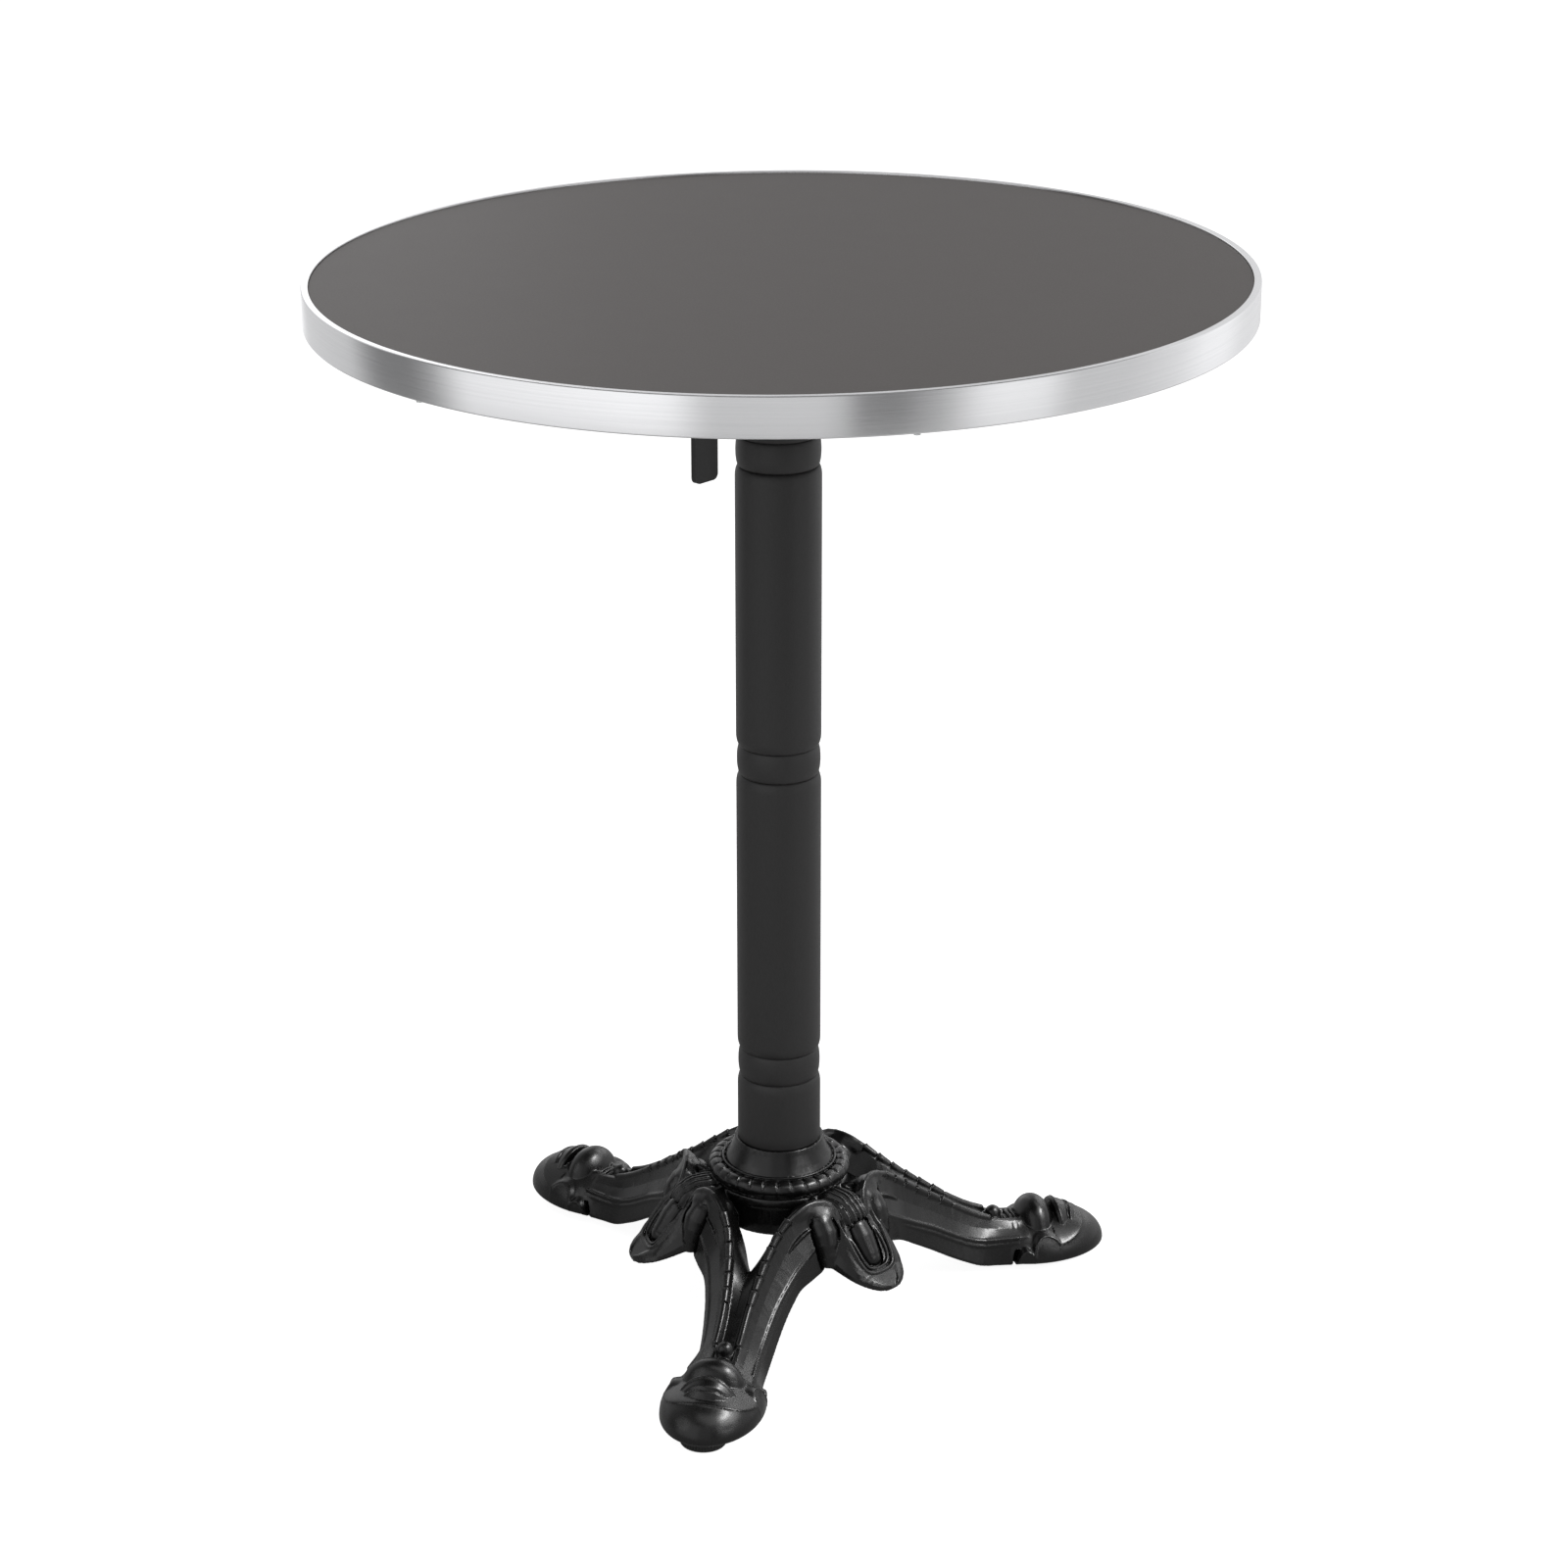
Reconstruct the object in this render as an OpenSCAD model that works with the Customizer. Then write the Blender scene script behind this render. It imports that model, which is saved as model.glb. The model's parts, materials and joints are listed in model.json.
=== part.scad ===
// Round cafe table with a flip top: a banded laminate top on a turned column,
// held by a long tie rod to a three-footed cast base with levelling glides.
// Origin: centre of the footprint on the floor. +Z is up, -Y is the front, where
// the release lever is, and the hinge of the top runs along X. Millimetres;
// angles are in degrees, counter-clockwise from +X seen from above.

/* [Table] */
// Height of the highest point of the rim above the floor
table_h = 720; // [700:5:760]
// Outside diameter of the top, over the metal band
top_d = 600; // [560:10:700]
// Height of the metal band round the edge
rim_h = 25; // [24:0.5:28]
// How far the band stands above the laminate
lip_h = 1.1; // [0.6:0.1:1.5]
// Width of the band's lip seen from above
lip_w = 4.8; // [3.6:0.2:6]
// Wall thickness of the band
band_t = 1.5; // [1.2:0.1:2]
// Angle of the band's butt joint
joint_az = 208.4; // [0:0.1:359]

/* [Column] */
// Outside radius of the plain lengths of the column
col_r = 28.1; // [27:0.1:30]
// Inside radius of the column
col_bore = 24; // [22:0.5:24]
// Depth of the grooves beside each bead
groove_d = 2.4; // [1.5:0.1:2.6]
// Height of one bead from groove to groove
bead_h = 20; // [16:1:24]
// Distance from each end of the column to its end bead
bead_in = 57; // [45:1:70]

/* [Base casting] */
// Height of the seam between the column and the base
neck_z = 118.7; // [116:0.1:122]
// Radius of the ring round the hub, to the centre of its roll
ring_r = 41.4; // [40:0.2:43]
// Radius of the roll of that ring
ring_roll = 6.8; // [6:0.2:7.4]
// Distance from the column's axis to the middle of each paw
paw_r = 188.7; // [184:0.5:194]
// Half length of a paw, along the foot
paw_a = 48; // [46:0.5:50]
// Half width of a paw
paw_b = 34; // [32:0.5:36]

/* [Levelling glides] */
// Distance from the column's axis to each glide
glide_r = 215; // [212:0.5:217]
// Radius of the glide's pad
pad_r = 15.3; // [14:0.1:16]
// Radius of the glide's threaded stud
stud_r = 5; // [4:0.5:5]
// Ribs round the rim of the pad
pad_ribs = 24; // [12:1:30]

/* [Flip mechanism] */
// How far behind the column's axis the hinge lies
hinge_y = 52; // [50:0.5:54]
// Radius of the hinge pin
pin_r = 5; // [4:0.5:5]
// Distance in front of the axis of the lever's pivot
lever_y = 67.6; // [66:0.1:69]
// Length of the lever below its pivot
lever_len = 87; // [60:1:95]
// Width of the lever
lever_w = 20; // [16:1:22]
// Thickness of the lever
lever_t = 4; // [3:0.5:6]
// Radius of the tie rod
rod_r = 6; // [5:0.5:6]
// Radial running clearance of pins in their holes
run_gap = 0.06; // [0.03:0.01:0.09]

/* [Hidden] */

black = [0.09, 0.09, 0.09];
steel = [0.62, 0.63, 0.65];
band_metal = [0.78, 0.79, 0.8];
laminate_grey = [0.35, 0.34, 0.33];
board_brown = [0.66, 0.52, 0.36];
balance_grey = [0.16, 0.16, 0.16];
bush_white = [0.85, 0.84, 0.8];
bumper_black = [0.05, 0.05, 0.05];
column_grey = [0.19, 0.19, 0.19];
pad_black = [0.06, 0.06, 0.06];

// levels, from the rim down
top_r = top_d / 2;
laminate_t = 1;
balance_t = 0.9;
plate_t = 3;
rim_z = table_h - rim_h;            // lower edge of the band
balance_z = rim_z + lip_h;          // under face of the balance laminate
core_z0 = balance_z + balance_t;
core_z1 = table_h - lip_h - laminate_t;
plate_z = balance_z - plate_t;      // under face of the steel frame
hinge_z = plate_z - 10.1;
pivot_z = plate_z - 9.1;            // height of the lever's pivot
col_top = plate_z - 32.1;

feet = [-60, 60, 180];              // angles of the front, right and left feet
pivot_r = 4;                        // radius of the lever's pin
nose_r = 15.5;                      // reach of the lever's nose from its pivot
rod_hole_r = rod_r + 0.5;
washer_t = 2.5;
nut_h = 10;
head_boss_h = 8;                    // seat of the upper washer above the column
base_seat_z = 75;                   // face in the base the lower washer bears on

/* ---- helpers ---- */
function arc(cx, cy, radius, from, to, steps) = [for (i = [0:steps])
    let (angle = from + (to - from) * i / steps)
    [cx + radius * cos(angle), cy + radius * sin(angle)]];

// ellipse of count points about a centre, from its two half axes as vectors
function ellipse_ring(middle, half_u, half_v, count) = [for (i = [0:count - 1])
    middle + half_u * cos(360 * i / count) + half_v * sin(360 * i / count)];
function level_ring(x, y, z, half_x, half_y, count) =
    ellipse_ring([x, y, z], [half_x, 0, 0], [0, half_y, 0], count);

function centre(ring) = [for (point = ring) 1] * ring / len(ring);

// start x of two bars of one width, whose inner faces are at -inner and inner
function pair(inner, width) = [-inner - width, inner];

// closed skin over a list of rings that all have the same number of points
module skin(rings) {
    n = len(rings[0]);
    last = len(rings) - 1;
    cap = n * (last + 1);           // index of the first cap's centre
    points = concat([for (ring = rings) each ring], [centre(rings[0]), centre(rings[last])]);
    sides = [for (j = [0:last - 1], i = [0:n - 1])
        let (a = j * n + i, b = j * n + (i + 1) % n)
        each [[a, b + n, b], [a, a + n, b + n]]];
    first_cap = [for (i = [0:n - 1]) [cap, i, (i + 1) % n]];
    last_cap = [for (i = [0:n - 1]) [cap + 1, last * n + (i + 1) % n, last * n + i]];
    polyhedron(points, concat(sides, first_cap, last_cap), convexity = 6);
}

module rounded_rect(x0, x1, y0, y1, radius) {
    translate([x0 + radius, y0]) square([x1 - x0 - 2 * radius, y1 - y0]);
    translate([x0, y0 + radius]) square([x1 - x0, y1 - y0 - 2 * radius]);
    for (x = [x0 + radius, x1 - radius], y = [y0 + radius, y1 - radius])
        translate([x, y]) circle(radius, $fn = 48);
}

// round bars along X between two x values, on any axis, the hinge's or the lever's
module x_bar(x0, x1, y, z, radius, fn = 64)
    translate([x0, y, z]) rotate([0, 90, 0]) cylinder(r = radius, h = x1 - x0, $fn = fn);
module hinge_bar(x0, x1, radius, fn = 64) x_bar(x0, x1, hinge_y, hinge_z, radius, fn);
module pivot_bar(x0, x1, radius) x_bar(x0, x1, -lever_y, pivot_z, radius);

module at_points(points, z) for (p = points) translate([p[0], p[1], z]) children();

/* ---- table top ---- */
core_r = top_r - band_t - 0.1;
flange_r = top_r - 6;               // inner edge of the band's lower flange
band_round = 1.1;                   // rounding of the band's outer corners
band_screw_r = top_r - 3.4;
band_screw_az = [for (step = [-3, 3, 60, 120, 180, 240, 300]) joint_az + step];
frame_screw_points = [for (x = [-62, 62], y = [-78, -4, 72]) [x, y]];

module at_band_screws(z)
    for (az = band_screw_az) rotate(az) translate([band_screw_r, 0, z]) children();

module band_profile() polygon(concat(
    [[flange_r, rim_z], [top_r - band_round, rim_z]],
    arc(top_r - band_round, rim_z + band_round, band_round, -90, 0, 5),
    arc(top_r - band_round, table_h - band_round, band_round, 0, 90, 5),
    [[top_r - lip_w + 0.4, table_h], [top_r - lip_w, table_h - 0.4],
     [top_r - lip_w, core_z1], [top_r - band_t, core_z1],
     [top_r - band_t, balance_z], [flange_r, balance_z]]));

module edge_band() color(band_metal) difference() {
    rotate_extrude($fn = 180) band_profile();
    // slit of the butt joint
    rotate(joint_az) translate([top_r - 12, -0.2, rim_z - 1]) cube([24, 0.4, rim_h + 2]);
    at_band_screws(rim_z - 1) cylinder(r = 1.25, h = 3, $fn = 32);
}

module top_laminate() color(laminate_grey) translate([0, 0, core_z1])
    cylinder(r = top_r - lip_w - 0.2, h = laminate_t, $fn = 180);

module screw_holes(z, depth) {
    at_points(frame_screw_points, z) cylinder(r = 2.05, h = depth, $fn = 32);
    at_band_screws(z) cylinder(r = 1.15, h = depth, $fn = 32);
}

module top_core() color(board_brown) difference() {
    translate([0, 0, core_z0]) cylinder(r = core_r, h = core_z1 - core_z0, $fn = 180);
    screw_holes(core_z0 - 1, 15);
}

module balance_laminate() color(balance_grey) difference() {
    translate([0, 0, balance_z]) cylinder(r = core_r, h = balance_t, $fn = 180);
    screw_holes(balance_z - 1, 3);
}

// slotted head under the band, shank up through it
module band_screws() color(steel) at_band_screws(0) {
    head_h = 1.2;
    difference() {
        translate([0, 0, rim_z - head_h]) cylinder(r = 2, h = head_h, $fn = 32);
        translate([-3, -0.25, rim_z - head_h - 0.1]) cube([6, 0.5, 0.6]);
    }
    translate([0, 0, rim_z]) cylinder(r = 1.1, h = 12, $fn = 32);
}

/* ---- frame under the top ---- */
ear_t = 3;
cross_bars = [[-88, -66], [60, 84], [-14, 6]];  // y from, y to

module ear(x, y, z, radius) {
    x_bar(x, x + ear_t, y, z, radius);
    translate([x, y - radius, z]) cube([ear_t, 2 * radius, plate_z - z]);
}

module frame_outline() difference() {
    union() {
        for (bar = cross_bars) rounded_rect(-74, 74, bar[0], bar[1], 8);
        rounded_rect(-46, 46, -98, 80, 10);
    }
    rounded_rect(-20, 20, -44, 34, 10);
}

module top_frame() color(black) difference() {
    union() {
        translate([0, 0, plate_z]) linear_extrude(plate_t) frame_outline();
        for (x = pair(38, ear_t)) ear(x, hinge_y, hinge_z, 9.5);
        for (x = pair(5, ear_t)) ear(x, -lever_y, pivot_z, 8.6);
    }
    hinge_bar(-50, 50, pin_r + run_gap);
    pivot_bar(-12, 12, pivot_r + run_gap);
    at_points(frame_screw_points, plate_z - 1) cylinder(r = 2.3, h = 5, $fn = 32);
}

// cross-slotted heads under the plate
module frame_screws() color(steel) at_points(frame_screw_points, 0) {
    head_h = 2.4;
    difference() {
        translate([0, 0, plate_z - head_h]) cylinder(r1 = 3.2, r2 = 4.2, h = head_h, $fn = 48);
        for (a = [0, 90]) rotate(a)
            translate([-2.2, -0.5, plate_z - head_h - 0.1]) cube([4.4, 1, 1.6]);
    }
    translate([0, 0, plate_z]) cylinder(r = 2, h = 15, $fn = 32);
}

/* ---- hinge ---- */
clip_groove_x = 41.3;               // inner side of each clip's groove
clip_groove_w = 1;
clip_groove_r = pin_r - 1;
clip_t = 0.8;
bush_r = pin_r + 2;
head_ear_x = 27;                    // inner face of the head's ears
head_ear_t = 9;
head_ear_out = head_ear_x + head_ear_t;

module hinge_pin() color(steel) difference() {
    hinge_bar(-46.5, 46.5, pin_r);
    for (x = pair(clip_groove_x, clip_groove_w)) difference() {
        hinge_bar(x, x + clip_groove_w, pin_r + 2);
        hinge_bar(x - 1, x + 2, clip_groove_r);
    }
}

module hinge_clips() color(steel) for (x = pair(clip_groove_x + 0.1, clip_t)) difference() {
    hinge_bar(x, x + clip_t, 8.5);
    hinge_bar(x - 1, x + 2, clip_groove_r + 0.04);
    // open mouth below the pin, and a hole on each side
    translate([x - 1, hinge_y - 2.6, hinge_z - 12]) cube([3, 5.2, 12]);
    for (side = [-1, 1]) x_bar(x - 1, x + 2, hinge_y + side * 5.4, hinge_z + 3.2, 1.5, 32);
}

module hinge_bushes() color(bush_white) for (s = [0, 1]) mirror([s, 0, 0]) difference() {
    union() {
        hinge_bar(head_ear_x - 0.5, head_ear_out, bush_r);
        hinge_bar(head_ear_out, head_ear_out + 1.8, 8.6);
    }
    hinge_bar(20, 40, pin_r + run_gap);
}

/* ---- cast head on the column ---- */
head_plate_t = 6;
spigot_h = 16;                      // reach of the head down into the column
rail_t = 4;
lug_r = hinge_y + lever_y - nose_r - 0.1;   // the lug's round face, about the hinge
post_points = [for (x = [-27, 27], y = [-28, 26]) [x, y]];

module head_body() {
    translate([0, 0, col_top]) cylinder(r = 30, h = head_plate_t, $fn = 96);
    translate([0, 0, col_top]) linear_extrude(head_plate_t) {
        rounded_rect(-head_ear_out, head_ear_out, -37, 61.5, 7);
        rounded_rect(-14, 14, -56, -20, 4);
    }
    translate([0, 0, col_top - spigot_h]) cylinder(r = col_bore - 0.1, h = spigot_h, $fn = 96);
    translate([0, 0, col_top]) cylinder(r = 17, h = head_boss_h, $fn = 72);
    // ears for the hinge
    for (x = pair(head_ear_x, head_ear_t)) {
        hinge_bar(x, x + head_ear_t, 9);
        translate([x, hinge_y - 9, col_top + 3])
            cube([head_ear_t, 18, hinge_z - col_top - 3]);
    }
    // side rails
    for (x = pair(head_ear_out - rail_t, rail_t))
        translate([x, -30, col_top]) cube([rail_t, 75, 13]);
    // lug the lever's nose bears on, and the rib behind it
    intersection() {
        translate([-12, -58, col_top + 1]) cube([24, 14, plate_z - col_top - 4]);
        hinge_bar(-13, 13, lug_r, 180);
    }
    translate([-3, -46, col_top + 3]) cube([6, 24, 12]);
    // posts for the bumpers
    at_points(post_points, col_top + 2) cylinder(r = 6, h = 22, $fn = 48);
}

module tilt_head() color(black) difference() {
    union() head_body();
    // the lug's arm stays inside the same round face
    difference() {
        translate([-20, -70, col_top - 1]) cube([40, 30, 30]);
        hinge_bar(-21, 21, lug_r, 180);
    }
    hinge_bar(-50, 50, bush_r + 0.02);
    translate([0, 0, col_top - 20]) cylinder(r = rod_hole_r, h = 40, $fn = 64);
    // hollow spigot
    translate([0, 0, col_top - spigot_h - 1]) cylinder(r = col_bore - 5, h = 14, $fn = 72);
    at_points(post_points, col_top + 12) cylinder(r = 2.6, h = 22, $fn = 32);
}

// stem down in the post, rounded cap on top
module head_bumpers() color(bumper_black) at_points(post_points, 0) {
    translate([0, 0, col_top + 15]) cylinder(r = 2.55, h = 10, $fn = 32);
    translate([0, 0, col_top + 24]) rotate_extrude($fn = 48)
        polygon(concat([[0, 0], [5.6, 0]], arc(2.6, 4.9, 3, 0, 90, 4), [[0, 7.9]]));
}

/* ---- lever that frees the top ---- */
lever_hub_w = 9.6;
lever_hub_r = 8.5;
lever_corner = 4;
// angle about the pivot from +Y towards +Z, radius of the hub there
nose_rows = [[-60, lever_hub_r], [-8, nose_r], [4, nose_r], [70, lever_hub_r]];
spring_seat_z = pivot_z - 5;
spring_r = 2.8;
spring_wire = 0.45;                 // radius of the wire
spring_turns = 4;

// extrudes a (y, z) outline about the pivot, centred on x = 0
module lever_slab(width)
    translate([-width / 2, -lever_y, pivot_z]) rotate([90, 0, 90])
        linear_extrude(width) children();

module lever_bar_outline() {
    half_w = lever_w / 2;
    translate([-half_w, -lever_len + lever_corner])
        square([lever_w, lever_len - 2 * lever_corner]);
    translate([-half_w + lever_corner, -lever_len])
        square([lever_w - 2 * lever_corner, lever_len - lever_corner]);
    for (side = [-1, 1])
        translate([side * (half_w - lever_corner), -lever_len + lever_corner])
            circle(lever_corner, $fn = 48);
}

module latch_lever() color(black) difference() {
    union() {
        // hub with its nose, towards the head
        lever_slab(lever_hub_w)
            polygon([for (a = [-180:6:174]) lookup(a, nose_rows) * [cos(a), sin(a)]]);
        lever_slab(lever_t) lever_bar_outline();
        // seat for the spring
        translate([-lever_hub_w / 2, -lever_y - 18.4, spring_seat_z - 3])
            cube([lever_hub_w, 12, 3]);
    }
    pivot_bar(-12, 12, pivot_r + run_gap);
}

module latch_pin() color(steel) {
    head_t = 1.95;
    pivot_bar(-9.5, 9.5, pivot_r);
    for (x = pair(8.05, head_t)) pivot_bar(x, x + head_t, 6);
}

module latch_spring() color(steel) {
    turn_steps = 14;
    steps = spring_turns * turn_steps;
    z0 = spring_seat_z + spring_wire + 0.02;
    z1 = plate_z - spring_wire - 0.07;
    translate([0, -lever_y - 14, 0]) skin([for (i = [0:steps])
        let (angle = 360 * i / turn_steps,
            outward = [cos(angle), sin(angle), 0],
            middle = spring_r * outward + [0, 0, z0 + (z1 - z0) * i / steps])
        ellipse_ring(middle, spring_wire * outward, [0, 0, -spring_wire], 6)]);
}

/* ---- column ---- */
bead_zs = [neck_z + bead_in, neck_z + 0.507 * (col_top - neck_z), col_top - bead_in];
// distances from the groove at which a shoulder is drawn, the first its full height
shoulder_steps = [7.5, 5.6, 3.8, 2.2, 1, 0.3];

// height of a quarter ellipse of unit half axes at a distance from its middle
function quarter(distance) = sqrt(max(0, 1 - pow(distance, 2)));
function shoulder(d) =
    let (full = shoulder_steps[0]) col_r - groove_d + groove_d * quarter((full - d) / full);
function barrel(d) = col_r - groove_d + (groove_d - 0.45) * quarter(d / (bead_h / 2));

// bead between two grooves, with the shoulders below and above them
function bead_points(z) = let (half = bead_h / 2) concat(
    [for (d = shoulder_steps) [shoulder(d), z - half - d]],
    [for (i = [0:12]) let (dz = -half * cos(15 * i)) [barrel(dz), z + dz]],
    [for (i = [len(shoulder_steps) - 1:-1:0])
        let (d = shoulder_steps[i]) [shoulder(d), z + half + d]]);

module column() color(column_grey) rotate_extrude($fn = 120) polygon(concat(
    [[col_bore, neck_z], [col_r - 0.5, neck_z], [col_r, neck_z + 0.5]],
    [for (z = bead_zs) each bead_points(z)],
    [[col_r, col_top - 0.5], [col_r - 0.5, col_top], [col_bore, col_top]]));

/* ---- tie rod ---- */
rod_z0 = 61;
rod_z1 = col_top + 24;
rod_end = 1;                        // chamfer at each end

module tie_rod() color(steel) {
    translate([0, 0, rod_z0 + rod_end])
        cylinder(r = rod_r, h = rod_z1 - rod_z0 - 2 * rod_end, $fn = 64);
    translate([0, 0, rod_z0])
        cylinder(r1 = rod_r - rod_end, r2 = rod_r, h = rod_end, $fn = 64);
    translate([0, 0, rod_z1 - rod_end])
        cylinder(r1 = rod_r, r2 = rod_r - rod_end, h = rod_end, $fn = 64);
}

module tie_rod_washers() color(steel)
    for (z = [base_seat_z - washer_t, col_top + head_boss_h])
        translate([0, 0, z]) difference() {
            cylinder(r = 12, h = washer_t, $fn = 64);
            translate([0, 0, -1]) cylinder(r = rod_hole_r, h = 5, $fn = 64);
        }

module tie_rod_nuts() color(steel)
    for (z = [base_seat_z - washer_t - nut_h, col_top + head_boss_h + washer_t])
        translate([0, 0, z]) difference() {
            cylinder(r = 10.4, h = nut_h, $fn = 6);
            translate([0, 0, -1]) cylinder(r = rod_r + 0.05, h = nut_h + 2, $fn = 64);
        }

/* ---- base casting ---- */
// The tables are in a foot's own frame: x outwards, y across, z up.
// One arm, from the shoulder by the hub down to its paw: x, ridge y and z,
// outer edge y and z, inner edge y and z, underside z of the inner edge
arm_rows = [
    [38, 32, 90, 41, 64, 22, 70, 62],
    [50, 34, 96, 48, 56, 19, 68, 58],
    [58, 30, 96, 49, 51, 13, 66, 54],
    [66, 22, 90, 42, 48, 7, 62, 50],
    [76, 17, 83, 34, 43, 2, 57, 45],
    [88, 14, 74.5, 30, 36, -1, 55.5, 43],
    [104, 11, 64, 26.5, 26, -1, 54, 39],
    [123, 8.8, 51.5, 24.5, 15.5, -1, 47, 32],
    [141, 8, 41, 23.5, 8, -1, 37, 20],
    [158, 8, 36, 24, 6.5, -1, 34, 12],
    [178, 8, 34, 24, 6.5, -1, 34, 12]];
// z, x from the paw's middle, shares of its half length and half width
paw_rows = [
    [6, 0, 0.93, 0.92], [8, 0, 0.985, 0.98], [12, 0, 1, 1],
    [20, -0.5, 0.985, 0.975], [28, -1.5, 0.92, 0.9], [35, -2.5, 0.79, 0.78],
    [41, -3.5, 0.6, 0.6], [45.5, -4, 0.38, 0.4], [48, -4, 0.12, 0.14]];
// x, y, z, radius
drop_rows = [
    [63.5, 48, 53, 3], [63, 47.5, 57, 6], [61.5, 46, 64, 8.5], [59, 43.5, 74, 10],
    [56, 40, 84, 9.5], [53, 37.5, 92, 7], [52, 36, 95, 3]];
// x, z, slope angle, half width, half thickness
leaf_rows = [
    [38, 84, 0, 20, 10], [50, 87, -8, 20, 9], [62, 85, -30, 21, 8],
    [72, 77, -48, 24, 7], [80, 66.5, -54, 26, 6.5], [87, 57, -52, 26, 6],
    [94, 49, -48, 22.5, 5.2], [100, 43.5, -44, 16, 4.2], [104.5, 40, -42, 8, 2.8]];
knob_r = 8;

// section of an arm on one side (-1 or 1), its blade bulging a little outwards
function arm_ring(row, side) = let (
    ridge = [row[1], row[2]],
    outer = [row[3], row[4]],
    fall = outer - ridge,
    bulge = ridge + 0.5 * fall + 1.5 * [-fall[1], fall[0]] / norm(fall),
    outline = [[row[5], row[6]], ridge - [3.6, 3], ridge - [2.4, 0.4], ridge,
        ridge + [2.6, -1.6], bulge, outer + [-0.5, 4], outer, outer - [6, 0],
        [row[5], row[7]]],
    last = len(outline) - 1)
    [for (i = [0:last]) let (p = outline[side > 0 ? last - i : i]) [row[0], side * p[0], p[1]]];

module arm(side) skin([for (row = arm_rows) arm_ring(row, side)]);

module paw() {
    skin([for (row = paw_rows)
        level_ring(paw_r + row[1], 0, row[0], paw_a * row[2], paw_b * row[3], 28)]);
    // knob where the two arms meet
    skin([for (t = [-80:20:80])
        level_ring(155, 0, 34.5 + 8.5 * sin(t), knob_r * cos(t), knob_r * cos(t), 12)]);
}

// drop-shaped end of an arm under its shoulder
module drop(side) skin([for (row = drop_rows)
    level_ring(row[0], side * row[1], row[2], row[3], row[3], 12)]);

// hanging leaf between two feet
module leaf() skin([for (row = leaf_rows) ellipse_ring([row[0], 0, row[1]],
    [0, row[3], 0], row[4] * [-sin(row[2]), 0, cos(row[2])], 20)]);

// hub with its rolled ring, and the spigot up into the column
module hub() rotate_extrude($fn = 60) polygon(concat(
    [[0, 61], [40, 61], [42, 63], [43, 84], [46, 85.4], [46.2, 88]],
    arc(ring_r, 95.2, ring_roll, -50, 125, 12),
    [[36.6, 103.4], [33.6, 108], [31.4, 113], [30.2, neck_z - 0.4], [29.8, neck_z],
     [col_bore - 0.1, neck_z], [col_bore - 0.1, neck_z + 13],
     [col_bore - 1.1, neck_z + 14], [0, neck_z + 14]]));

module base_casting() color(black) difference() {
    // zeros leave every size as it is
    resize([0, 0, 0]) union() {
        hub();
        for (a = feet) rotate(a) {
            paw();
            for (side = [-1, 1]) {
                arm(side);
                drop(side);
            }
        }
        for (a = feet) rotate(a + 60) leaf();
    }
    // room for the tie rod, its washer and nut, and a cored hollow
    translate([0, 0, 50]) cylinder(r = rod_hole_r, h = 100, $fn = 64);
    translate([0, 0, 50]) cylinder(r = 16, h = base_seat_z - 50, $fn = 64);
    translate([0, 0, 82]) cylinder(r = 21, h = 60, $fn = 64);
    for (i = [0:2]) at_foot(i) {
        cylinder(r = stud_r + run_gap, h = 34, $fn = 64);
        cylinder(r = 11.4, h = 12, $fn = 64);
    }
}

/* ---- levelling glides ---- */
flange_seat_r = 8.8;                // radius of the stud's flange, held in the pad

module at_foot(i) rotate(feet[i]) translate([glide_r, 0, 0]) children();

module glide_pad() color(pad_black) difference() {
    rotate_extrude($fn = 96) polygon([
        [0, 0], [pad_r - 1, 0], [pad_r, 1], [pad_r, 4.2], [pad_r - 1, 5.2],
        [10.6, 5.6], [10.2, 7.6], [6.1, 7.6], [6.1, 6.6],
        [flange_seat_r + 0.1, 6.6], [flange_seat_r + 0.1, 3], [0, 3]]);
    // notches that leave the ribs
    for (i = [0:pad_ribs - 1]) rotate(360 * i / pad_ribs)
        translate([pad_r + 0.5, 0, 0.8]) cylinder(r = 1.1, h = 6, $fn = 16);
}

// flange, collar, hexagon, stud and its chamfered tip
module glide_stud() color(steel) union() {
    translate([0, 0, 3.1]) cylinder(r = flange_seat_r, h = 3.4, $fn = 64);
    translate([0, 0, 6]) cylinder(r = 5, h = 3, $fn = 64);
    translate([0, 0, 8.2]) cylinder(r = 8.1, h = 3.4, $fn = 6);
    translate([0, 0, 10]) cylinder(r = stud_r, h = 20, $fn = 64);
    translate([0, 0, 30]) cylinder(r1 = stud_r, r2 = stud_r - 1, h = 1, $fn = 64);
}

module front_glide_pad() at_foot(0) glide_pad();
module front_glide_stud() at_foot(0) glide_stud();
module right_glide_pad() at_foot(1) glide_pad();
module right_glide_stud() at_foot(1) glide_stud();
module left_glide_pad() at_foot(2) glide_pad();
module left_glide_stud() at_foot(2) glide_stud();

top_laminate();
top_core();
balance_laminate();
edge_band();
band_screws();
top_frame();
frame_screws();
hinge_pin();
hinge_clips();
hinge_bushes();
tilt_head();
head_bumpers();
latch_lever();
latch_pin();
latch_spring();
column();
tie_rod();
tie_rod_washers();
tie_rod_nuts();
base_casting();
front_glide_pad();
front_glide_stud();
right_glide_pad();
right_glide_stud();
left_glide_pad();
left_glide_stud();
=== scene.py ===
"""Looks of the bistro table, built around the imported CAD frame. Metres in the row frame; the shape functions work in millimetres."""
import json
import math
from concurrent.futures import ThreadPoolExecutor

import bmesh
import bpy
import numpy as np
from mathutils import Matrix, Vector

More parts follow.
